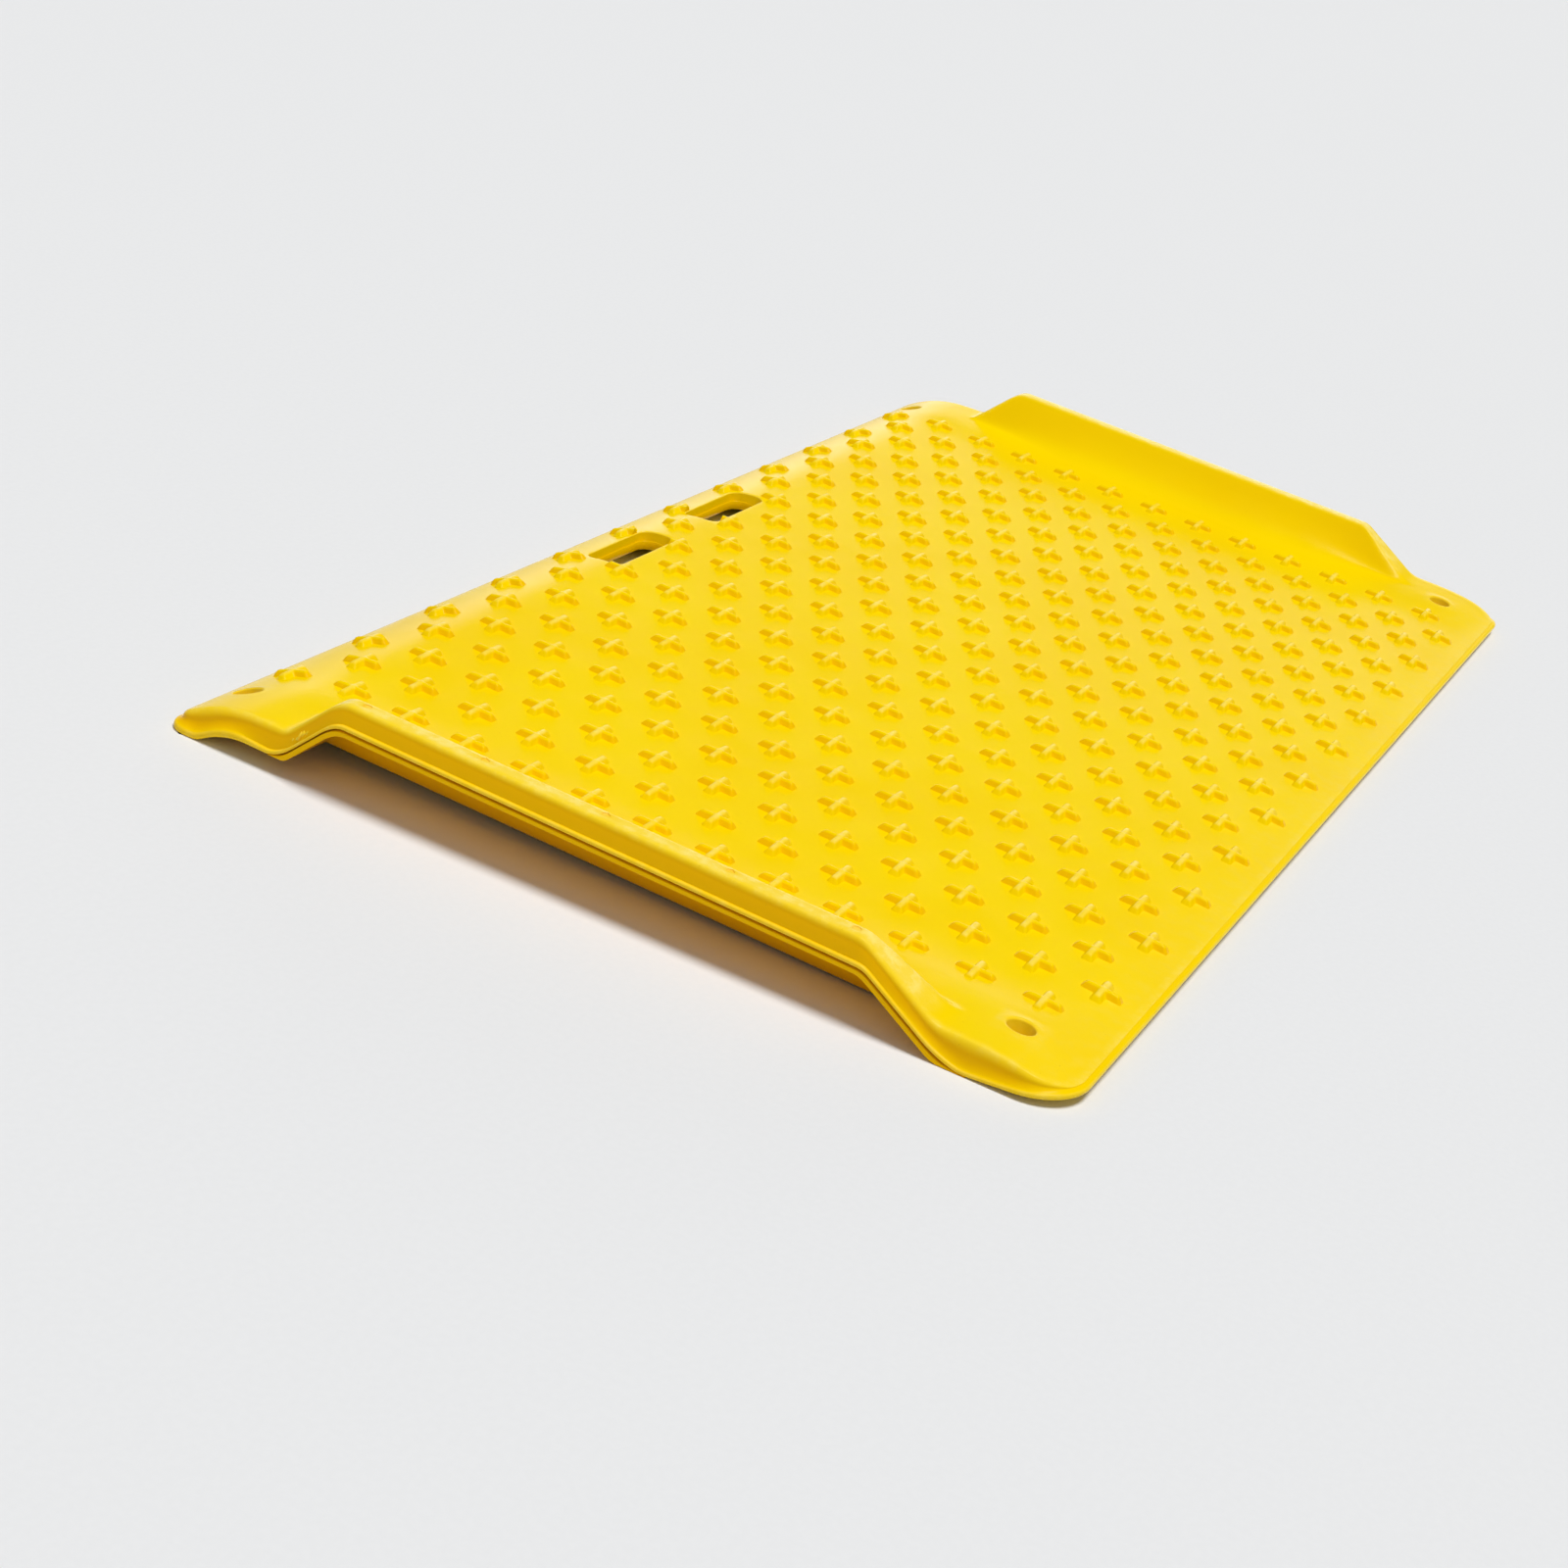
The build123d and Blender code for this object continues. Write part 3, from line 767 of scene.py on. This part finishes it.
def openings():
    """Every opening of the upper skin: its place, its reach, its rings and whether it goes through."""
    for side in (-1.0, 1.0):
        grip = (side * GRIP_SIDE, GRIP_FROM_TOE)
        yield grip, GRIP_REACH, grip_rings(grip), True
        toe = (side * FIXING_SIDE, FIXING_TOE)
        yield toe, FIXING_TOE_REACH, fixing_rings(toe, at_lip=False), True
        lip = (side * FIXING_SIDE, FIXING_LIP)
        yield lip, FIXING_LIP_REACH, fixing_rings(lip, at_lip=True), True
    for along in MARK_PLACES:
        mark = (MARK_SIDE, along)
        yield mark, MARK_REACH, mark_rings(mark), False


def deck_wear_and_highlight(x, y):
    """Where the upper skin is scuffed: along its outline, near the toe and on the rails' tops, where
    the paler colour is also a painted highlight.
    """
    inner, outline = rail_faces(x, y)
    hip = rail_hip(y)
    edge = EDGE_WEAR * (1.0 - ease(edge_distance(x, y), *EDGE_WEAR_OVER))
    rail = ease(inner - outline, -hip, hip) * ease(outline - deck_level(x, y), *RAIL_WEAR_AND_HIGHLIGHT_OVER)
    toe = TOE_WEAR * (1.0 - ease(y, *TOE_WEAR_OVER))
    return np.maximum(np.maximum(edge, rail), toe)


def deck_painted_shade(x, y):
    """Painted shade on the rails' inner slopes."""
    inner, outline = rail_faces(x, y)
    below_top = ease(outline - inner, *RAIL_SHADE_TOP_OVER)
    above_foot = ease(inner - deck_level(x, y), *RAIL_SHADE_FOOT_OVER)
    return RAIL_SHADE * below_top * above_foot


def deck_grid():
    """Lines of the upper skin's plan in runs of (end, step), finer at the holes, rails, toe and lip."""
    grip_in = GRIP_SIDE - GRIP_LENGTH / 2
    grip_out = GRIP_SIDE + GRIP_LENGTH / 2
    across = mirrored(lines(
        0.0,
        (grip_in - 6.0, 10.0),
        (grip_in + 10.0, 2.0),
        (grip_out - 10.0, 9.0),
        (grip_out + 6.0, 2.0),
        (SIDE_START + 10.0, 12.0),
        (RAIL_CREST_IN - 6.0, 2.5),
        (WIDTH / 2 - EDGE_START, 0.9),
    ))
    up = lines(
        EDGE_START,
        (FIXING_TOE + 17.0, 2.6),
        (RAIL_CREST_TOE + 18.0, 3.0),
        (RAIL_CREST_LIP - 24.0, 12.0),
        (LENGTH - 16.0, 2.3),
        (LENGTH - EDGE_START, 0.8),
    )
    return across, up


def make_deck(material):
    """Upper skin: tread plate, curled lip, rails, flared rim and its openings."""
    across, up = deck_grid()
    skin = Skin()
    top_x, top_y = plan(across, up, EDGE_START)
    low_x, low_y = plan(across, up, WALL_INNER)
    low_n = hollow_level(low_x, low_y)
    rim_n = rim_level(low_y)
    low_n[0], low_n[-1] = rim_n[0], rim_n[-1]
    low_n[:, 0], low_n[:, -1] = rim_n[:, 0], rim_n[:, -1]
    top = skin.add(
        top_x, top_y, top_level(top_x, top_y), deck_wear_and_highlight(top_x, top_y), deck_painted_shade(top_x, top_y)
    )
    low = skin.add(low_x, low_y, low_n)
    keep_top = np.ones((len(across) - 1, len(up) - 1), bool)
    keep_low = keep_top.copy()
    for place, reach, rings, through in openings():
        cells, points = cut_out(across, up, place, reach)
        keep_top[cells] = False
        loops = rings(skin, round_of(top_x[points]), round_of(top_y[points]))
        if through:
            keep_low[cells] = False
            loops.append(round_of(low[points]))
        else:
            skin.disc(loops[-1])
        skin.strips([round_of(top[points]), *loops])
    skin.patch(top, keep_top)
    skin.patch(low, keep_low)
    edge = edge_loops(skin, round_of(top_x), round_of(top_y), round_of(top))
    skin.strips([*edge, round_of(low)])
    piece = skin.build("deck", material, closed=True)
    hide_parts("deck_shell")


# Tread studs

def bar_height(beside, along, length):
    """Flat-topped bar with steep flanks and ends, its edges softened."""
    flank = STUD_HEIGHT * (STUD_BAR / 2 - np.abs(beside)) / STUD_FLANK
    hip = STUD_HEIGHT * (length / 2 - np.abs(along)) / STUD_HIP
    return smooth_min(smooth_min(flank, hip, STUD_SOFT), STUD_HEIGHT, STUD_SOFT)


def stud_lines(length):
    """Grid lines across a stud: finer at the edges of one bar and at the ends of the other."""
    ends = [(length / 2 + place, step) for place, step in STUD_END_LINES]
    return mirrored(lines(0.0, *STUD_BAR_LINES, *ends))


def stud_form():
    """One stud on a grid shaped like a cross: places, heights, kept cells, scuffing with a painted
    highlight on the top of the bar across the slope, and painted shade on the flanks of the bar up the
    slope.
    """
    u, v = np.meshgrid(stud_lines(STUD_SPAN), stud_lines(STUD_LENGTH), indexing="ij")
    upward = bar_height(u, v, STUD_LENGTH)
    sideways = bar_height(v, u, STUD_SPAN)
    height = smooth_max(upward, sideways, STUD_SOFT)
    keep = np.minimum(np.abs(middles_of(u)), np.abs(middles_of(v))) < STUD_REACH
    wear_and_highlight = STUD_TOP_WEAR_AND_HIGHLIGHT * ease(sideways, *STUD_TOP_WEAR_AND_HIGHLIGHT_OVER)
    flank = ease(STUD_HEIGHT - height, *STUD_SHADE_OVER)
    deep = STUD_SHADE * flank * ease(upward - sideways, *STUD_BAR_OVER)
    return u, v, np.maximum(height, -STUD_SINK), keep, wear_and_highlight, deep


def stud_places():
    """Centres of the studs in staggered rows, none in a hand-hold."""
    for row in range(STUD_ROWS):
        y = LENGTH - STUD_LIP_SETBACK - row * STUD_ROW
        count = STUD_LONG_ROW - row % 2
        for place in range(count):
            x = (place - (count - 1) / 2) * STUD_COLUMN
            beside = abs(abs(x) - GRIP_SIDE) > GRIP_LENGTH / 2
            clear = abs(y - GRIP_FROM_TOE) > GRIP_WIDTH / 2
            if beside or clear:
                yield x, y


def along_plate(y):
    """Distance of a line at y along the curled plate, from where the curl starts."""
    past = (y - LIP_START) / LIP_RADIUS
    return LIP_RADIUS * (math.asin(past) if past > 0.0 else past)


def on_plate(x, along, height):
    """Places and levels of a stud's points, laid along the plate, its curl and its hollow."""
    turn = along / LIP_RADIUS
    reach = LIP_RADIUS + height
    at_y = LIP_START + np.where(turn > 0.0, reach * np.sin(turn), along)
    level = np.where(turn > 0.0, reach * np.cos(turn) - LIP_RADIUS, height)
    return at_y, level + tread_level(x, at_y)


def make_studs(material):
    """Lattice of crosses on the tread, laid round the lip and cut off at the hand-holds."""
    u, v, height, keep, wear_and_highlight, deep = stud_form()
    grip_toe = along_plate(GRIP_FROM_TOE - GRIP_WIDTH / 2 - GRIP_ROLL)
    grip_lip = along_plate(GRIP_FROM_TOE + GRIP_WIDTH / 2 + GRIP_ROLL)
    skin = Skin()
    for x, y in stud_places():
        at_x = x + u
        middle = along_plate(y)
        along = middle + v
        by_grip = np.abs(np.abs(at_x) - GRIP_SIDE) < GRIP_LENGTH / 2
        along = np.where(by_grip & (middle < grip_toe), np.minimum(along, grip_toe), along)
        along = np.where(by_grip & (middle > grip_lip), np.maximum(along, grip_lip), along)
        at_y, level = on_plate(at_x, along, height)
        sheet = skin.add(at_x, at_y, level, wear_and_highlight, deep)
        skin.patch(sheet, keep)
    skin.build("tread_studs", material, closed=False)


# Lower skin

def wing_level(x, y, depth):
    """Height of the lower skin's wing under a rail, cut back by a depth."""
    hollow_crest = RAIL_CREST_IN + DECK_SKIN * math.tan(RAIL_INNER_ANGLE / 2)
    foot = hollow_crest - (RAIL_HEIGHT - DECK_SKIN) / RAIL_INNER_SLOPE
    foot += (WING_GAP + depth) / math.sin(RAIL_INNER_ANGLE)
    rise = (np.abs(x) - foot) * RAIL_INNER_SLOPE
    return smooth_min(rise, rim_line(y, depth), WING_BLEND)


def channel_rise(x, y):
    """How far the tack-off channels lift the lower skin."""
    first = -(CHANNEL_COUNT - 1) / 2 * CHANNEL_PITCH
    nearest = np.clip(np.round((x - first) / CHANNEL_PITCH), 0, CHANNEL_COUNT - 1)
    beside = CHANNEL_HALF - np.abs(x - first - nearest * CHANNEL_PITCH)
    ends = LENGTH / 2 - CHANNEL_END - np.abs(y - LENGTH / 2)
    return CHANNEL_DEPTH * np.clip(np.minimum(beside, ends) / CHANNEL_DRAFT, 0.0, 1.0)


def strip_round(x):
    """How far the strip's outer edges are rounded back near the side."""
    reach = np.clip(STRIP_ROUND - (WIDTH / 2 - np.abs(x)), 0.0, STRIP_ROUND)
    return STRIP_ROUND - np.sqrt(STRIP_ROUND ** 2 - reach ** 2)


def base_under(x, y):
    """Underside of the lower skin."""
    panel = curl_level(y, SLAB) + channel_rise(x, y)
    return smooth_max(panel, wing_level(x, y, GROOVE_HEIGHT + STRIP_HEIGHT), WING_BLEND)


def groove_height(y):
    """Height of the parting groove, which closes where the strip runs out."""
    room = rim_level(y) - base_under(WIDTH / 2, y)
    return GROOVE_HEIGHT * ease(room, *GROOVE_OVER)


def base_top(x, y):
    """Upper side of the lower skin, stepped down in the parting groove."""
    panel = curl_level(y, SLAB - BASE_SKIN)
    top = np.maximum(panel, wing_level(x, y, WING_CLEAR))
    in_groove = np.abs(x) > WIDTH / 2 - GROOVE_DEPTH - LINE_TOLERANCE
    return np.where(in_groove, rim_level(y) - groove_height(y), top)


def base_painted_shade(x):
    """Painted shade on the lower skin's wings, less again at the strip's face."""
    strip = ease(np.abs(x), *STRIP_PALER_OVER)
    return ease(np.abs(x), *WING_SHADE_OVER) * (1.0 - STRIP_PALER * strip)


def base_grid():
    """Lines of the lower skin's plan: finer at the channels, the hand-holds and the wings."""
    grip_in = GRIP_SIDE - GRIP_LENGTH / 2
    grip_out = GRIP_SIDE + GRIP_LENGTH / 2
    groove = WIDTH / 2 - GROOVE_DEPTH
    strip_turns = np.linspace(0.0, math.pi / 2, STRIP_ROUND_LINES)
    half = [
        0.0,
        *lines(grip_in - 10.0, (grip_in + 10.0, 2.5)),
        *lines(grip_out - 10.0, (grip_out + 10.0, 2.5)),
        *lines(grip_out + 20.0, (WING_LINES - 2.0, 14.2)),
        *lines(WING_LINES, (WIDTH / 2 - WALL_INNER - SEAT_GAP, 2.1)),
        FIXING_SIDE - FIXING_BOSS,
        FIXING_SIDE + FIXING_BOSS,
        groove - GROOVE_STEP,
        groove + GROOVE_STEP,
        *(WIDTH / 2 - STRIP_ROUND * (1.0 - np.sin(strip_turns))),
    ]
    for channel in range(CHANNEL_COUNT // 2):
        centre = (channel + 0.5) * CHANNEL_PITCH
        for offset in (CHANNEL_HALF, CHANNEL_HALF - CHANNEL_DRAFT, 0.0):
            half.extend([centre - offset, centre + offset])
    far_end = LENGTH - CHANNEL_END
    up = [
        CHANNEL_END,
        CHANNEL_END + CHANNEL_DRAFT,
        far_end - CHANNEL_DRAFT,
        far_end,
        *lines(
            TOE_SOLID + SEAT_GAP,
            (RAIL_CREST_TOE + 15.0, 2.0),
            (RAIL_CREST_LIP - 25.0, 9.0),
            (LENGTH - WALL_INNER - SEAT_GAP, 2.0),
        ),
    ]
    half, up = (np.unique(np.round(places, LINE_DECIMALS)) for places in (half, up))
    return mirrored(half), up


def base_cells(x, y):
    """Cells of the lower skin's plan that are there: inside the walls, the wings and off the bosses."""
    middle_x = np.abs(middles_of(x))
    middle_y = middles_of(y)
    gap = WALL_INNER + SEAT_GAP
    strip = rim_level(middle_y) - base_under(WIDTH / 2, middle_y)
    past_x = np.maximum(middle_x - (WIDTH / 2 - LIP_CORNER), 0.0)
    past_y = np.maximum(middle_y - (LENGTH - LIP_CORNER), 0.0)
    in_panel = (middle_x < WIDTH / 2 - gap) & (np.hypot(past_x, past_y) < LIP_CORNER - gap)
    at_boss = (np.abs(middle_x - FIXING_SIDE) < FIXING_BOSS) & (middle_y > FIXING_LIP - FIXING_BOSS)
    return (in_panel | (strip > STRIP_LEAST)) & ~at_boss


def low_grip_loops(skin, x, y, place):
    """Loops of a hand-hold through the lower skin, up to the step that its collar stands on, with
    painted shade on the lower skin's rings.
    """
    halves = (GRIP_LENGTH / 2 - GRIP_STEP, GRIP_WIDTH / 2 - GRIP_STEP)
    loops = []
    for grow, rise in GRIP_LOW_RINGS:
        px, py = hole_edge(x, y, place, halves, GRIP_LOW_CORNER, grow)
        loops.append(skin.add(px, py, base_under(px, py) + rise, deep=GRIP_LOW_SHADE))
    step_levels = (curl_level(py, GRIP_STEP_DROP), base_top(px, py))
    px, py = hole_edge(x, y, place, halves, GRIP_LOW_CORNER, GRIP_STEP - GRIP_DRAFT - GRIP_CLEAR)
    for level in step_levels:
        loops.append(skin.add(px, py, level))
    return loops


def open_edges(quads):
    """Edges that belong to one quad only."""
    seen = {}
    for quad in quads:
        for a, b in zip(quad, quad[1:] + quad[:1]):
            key = (min(a, b), max(a, b))
            seen[key] = None if key in seen else (a, b)
    return [edge for edge in seen.values() if edge]


def make_base(material):
    """Lower skin: a panel with tack-off channels, and wings that end in the strip under the groove."""
    across, up = base_grid()
    x, y = np.meshgrid(across, up, indexing="ij")
    skin = Skin()
    under_n = base_under(x, y)
    top_n = np.maximum(base_top(x, y), under_n + BASE_LEAST)
    round_off = np.minimum(strip_round(x), STRIP_ROUND_MOST * (top_n - under_n))
    # Painted shade on the wings
    deep = base_painted_shade(x)
    under = skin.add(x, y, under_n + round_off, deep=deep)
    top = skin.add(x, y, top_n - round_off, deep=deep)
    keep = base_cells(x, y)
    grip_points = set()
    for side in (-1.0, 1.0):
        place = (side * GRIP_SIDE, GRIP_FROM_TOE)
        cells, points = cut_out(across, up, place, GRIP_REACH)
        keep[cells] = False
        loops = low_grip_loops(skin, round_of(x[points]), round_of(y[points]), place)
        skin.strips([round_of(under[points]), *loops, round_of(top[points])])
        grip_points.update(round_of(under[points]).tolist())
    skin.patch(under, keep)
    for a, b in open_edges(cells_of(under)[keep].tolist()):
        if not (a in grip_points and b in grip_points):
            skin.faces.append([a, b, b + x.size, a + x.size])
    skin.patch(top, keep)
    piece = skin.build("base", material, closed=True)
    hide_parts("base_shell")


# Flash of the moulding

def make_flash(material):
    """Crumbs of flash left along the parting line where the near rail meets the lip."""
    skin = Skin()
    turn = np.linspace(0.0, 2.0 * math.pi, FLASH_ROUND, endpoint=False)
    along = np.linspace(0.0, 1.0, FLASH_LOOPS)
    y = FLASH_START + (FLASH_END - FLASH_START) * along
    lump = 0.5 + 0.5 * np.abs(np.sin(FLASH_LUMPS[0] * along) * np.cos(FLASH_LUMPS[1] * along))
    size = FLASH_SIZE * lump * np.sin(math.pi * np.clip(along, FLASH_TIP, 1.0 - FLASH_TIP))
    level = rim_level(y) + FLASH_RISE + FLASH_WAVE * np.sin(FLASH_WAVES * along)
    loops = []
    for at_y, at_n, radius in zip(y, level, size):
        x = WALL_INSET - WIDTH / 2 + radius * np.cos(turn)
        n = at_n + FLASH_TALL * radius * np.sin(turn)
        loops.append(skin.add(x, at_y, n, FLASH_WEAR, FLASH_SHADE))
    skin.strips(loops)
    skin.disc(loops[0])
    skin.disc(loops[-1])
    skin.build("mould_flash", material, closed=True)


# Materials

def add_node(tree, kind, inputs=(), **settings):
    """A shader node with its settings, its inputs given as values or as sockets to link."""
    made = tree.nodes.new(kind)
    for name, value in settings.items():
        setattr(made, name, value)
    for name, value in dict(inputs).items():
        if isinstance(value, bpy.types.NodeSocket):
            tree.links.new(value, made.inputs[name])
        else:
            made.inputs[name].default_value = value
    return made


def noise(tree, place, scale, detail, rough=0.5):
    """Noise of a scale in cycles per metre."""
    made = add_node(
        tree, "ShaderNodeTexNoise",
        {"Vector": place, "Scale": scale, "Detail": detail, "Roughness": rough},
    )
    return made.outputs["Fac"]


def remap(tree, value, low, high, to_low, to_high):
    """A value mapped smoothly from one range to another."""
    made = add_node(
        tree, "ShaderNodeMapRange",
        {"Value": value, "From Min": low, "From Max": high, "To Min": to_low, "To Max": to_high},
        interpolation_type="SMOOTHSTEP",
    )
    return made.outputs["Result"]


def combine(tree, operation, a, b):
    """Two values joined by a sum, a product or the like."""
    return add_node(tree, "ShaderNodeMath", {0: a, 1: b}, operation=operation).outputs[0]


def mix_colour(tree, share, first, second):
    """Blend of two colours by a share."""
    inputs = {MIX_SHARE: share, MIX_FIRST: first, MIX_SECOND: second}
    return add_node(tree, "ShaderNodeMix", inputs, data_type="RGBA").outputs[MIX_RESULT]


def bump(tree, inputs, strength, depth):
    """Normals of a surface roughened by a height, on top of another bump if inputs name one."""
    settings = {"Strength": strength, "Distance": depth, **inputs}
    return add_node(tree, "ShaderNodeBump", settings).outputs["Normal"]


def polyethylene():
    """Moulded yellow polyethylene: faint mottling, fine grain, scuffed along its edges, with painted
    shade and a painted highlight read from the points' marks.
    """
    material = bpy.data.materials.new("yellow_polyethylene_skin")
    material.use_nodes = True
    tree = material.node_tree
    shader = tree.nodes["Principled BSDF"]
    place = add_node(tree, "ShaderNodeTexCoord").outputs["Object"]
    wear_and_highlight = add_node(tree, "ShaderNodeAttribute", attribute_name="wear_and_highlight").outputs["Fac"]
    deep = add_node(tree, "ShaderNodeAttribute", attribute_name="deep").outputs["Fac"]
    cloud = remap(tree, noise(tree, place, *CLOUD_NOISE), *CLOUD_OVER, 0.0, 1.0)
    scuff = remap(tree, noise(tree, place, *SCUFF_NOISE), *SCUFF_OVER, SCUFF_LEAST, 1.0)
    speck = remap(tree, noise(tree, place, *SPECK_NOISE), *SPECK_OVER, 0.0, SPECK_MOST)
    rough = remap(tree, noise(tree, place, *ROUGH_NOISE), *ROUGH_OVER, *ROUGHNESS)
    body = mix_colour(tree, cloud, YELLOW, YELLOW_CLOUD)
    # Painted shade: the deeper orange mixed in by the points' shade mark
    walls = mix_colour(tree, deep, body, YELLOW_SHADED)
    # Scuffing, with a painted highlight where the mark is set on rail and stud tops
    scuffed_and_highlit = mix_colour(tree, combine(tree, "MULTIPLY", scuff, wear_and_highlight), walls, YELLOW_SCUFF_AND_HIGHLIGHT)
    colour = mix_colour(tree, speck, scuffed_and_highlit, YELLOW_SPECK)
    orange_peel = noise(tree, place, *PEEL_NOISE)
    grain = noise(tree, place, *GRAIN_NOISE)
    peel = bump(tree, {"Height": orange_peel}, PEEL_STRENGTH, PEEL_DEPTH)
    grained = bump(tree, {"Height": grain, "Normal": peel}, GRAIN_STRENGTH, GRAIN_DEPTH)
    tree.links.new(colour, shader.inputs["Base Color"])
    tree.links.new(rough, shader.inputs["Roughness"])
    tree.links.new(grained, shader.inputs["Normal"])
    shader.inputs["IOR"].default_value = SKIN_IOR
    shader.inputs["Specular IOR Level"].default_value = SKIN_SPECULAR
    return material


def floor_finish():
    """Plain pale floor with a fine grain."""
    material = bpy.data.materials.new("pale_floor")
    material.use_nodes = True
    tree = material.node_tree
    shader = tree.nodes["Principled BSDF"]
    place = add_node(tree, "ShaderNodeTexCoord").outputs["Object"]
    grain = remap(tree, noise(tree, place, *FLOOR_NOISE), *FLOOR_OVER, 0.0, 1.0)
    tree.links.new(mix_colour(tree, grain, FLOOR_PALE, FLOOR_LIGHT), shader.inputs["Base Color"])
    shader.inputs["Roughness"].default_value = FLOOR_ROUGHNESS
    shader.inputs["Specular IOR Level"].default_value = FLOOR_SPECULAR
    return material


# Stage, light and camera

def make_floor():
    """Pale floor that the ramp lies on."""
    form = bmesh.new()
    bmesh.ops.create_grid(form, x_segments=FLOOR_CELLS, y_segments=FLOOR_CELLS, size=FLOOR_HALF)
    mesh = bpy.data.meshes.new("floor")
    form.to_mesh(mesh)
    form.free()
    mesh.materials.append(floor_finish())
    floor = bpy.data.objects.new("floor", mesh)
    bpy.context.scene.collection.objects.link(floor)
    floor.location.z = -FLOOR_DROP


def make_sun():
    """One broad, soft lamp high overhead, a little to the toe side."""
    lamp = bpy.data.lights.new("key", "SUN")
    lamp.energy = SUN_STRENGTH
    lamp.angle = SUN_ANGLE
    holder = bpy.data.objects.new("key", lamp)
    holder.rotation_mode = "QUATERNION"
    holder.rotation_quaternion = (-Vector(SUN_FROM)).to_track_quat("-Z", "Y")
    bpy.context.scene.collection.objects.link(holder)


def make_world():
    """Sky that is lighter on the near side, with a low glow on the far side and a pale horizon."""
    world = bpy.data.worlds.new("studio")
    world.use_nodes = True
    tree = world.node_tree
    back = tree.nodes["Background"]
    back.inputs["Color"].default_value = SKY_COLOUR
    aim = add_node(tree, "ShaderNodeTexCoord").outputs["Generated"]
    parts = add_node(tree, "ShaderNodeSeparateXYZ", {"Vector": aim}).outputs
    even = remap(tree, parts["X"], *SKY_X_OVER, SKY_NEAR, SKY_FAR)
    far = remap(tree, parts["X"], *GLOW_X_OVER, 0.0, 1.0)
    low = remap(tree, parts["Z"], *GLOW_Z_OVER, GLOW, 0.0)
    lip_side = remap(tree, parts["Y"], *GLOW_Y_OVER, 0.0, 1.0)
    past_lip = remap(tree, parts["Y"], *GLOW_LIP_Y_OVER, 1.0, GLOW_LIP_SHARE)
    low_far = combine(tree, "MULTIPLY", far, low)
    at_lip = combine(tree, "MULTIPLY", lip_side, past_lip)
    glow = combine(tree, "MULTIPLY", low_far, at_lip)
    horizon = remap(tree, parts["Z"], *HORIZON_Z_OVER, HORIZON, 0.0)
    sky = combine(tree, "MAXIMUM", combine(tree, "ADD", even, glow), horizon)
    tree.links.new(sky, back.inputs["Strength"])
    bpy.context.scene.world = world


def make_camera():
    """Camera at the photograph's place and angle."""
    data = bpy.data.cameras.new("camera")
    data.lens = CAMERA_LENS
    data.sensor_width = CAMERA_SENSOR
    data.clip_end = CAMERA_SIGHT
    camera = bpy.data.objects.new("camera", data)
    turn = Matrix((CAMERA_RIGHT, -Vector(CAMERA_DOWN), -Vector(CAMERA_FORWARD))).transposed()
    camera.matrix_world = Matrix.Translation(CAMERA_PLACE) @ turn.to_4x4()
    bpy.context.scene.collection.objects.link(camera)
    bpy.context.scene.camera = camera


skin_finish = polyethylene()
make_deck(skin_finish)
make_studs(skin_finish)
make_base(skin_finish)
make_flash(skin_finish)
make_floor()
make_world()
make_sun()
make_camera()
bpy.context.scene.view_settings.view_transform = "Standard"
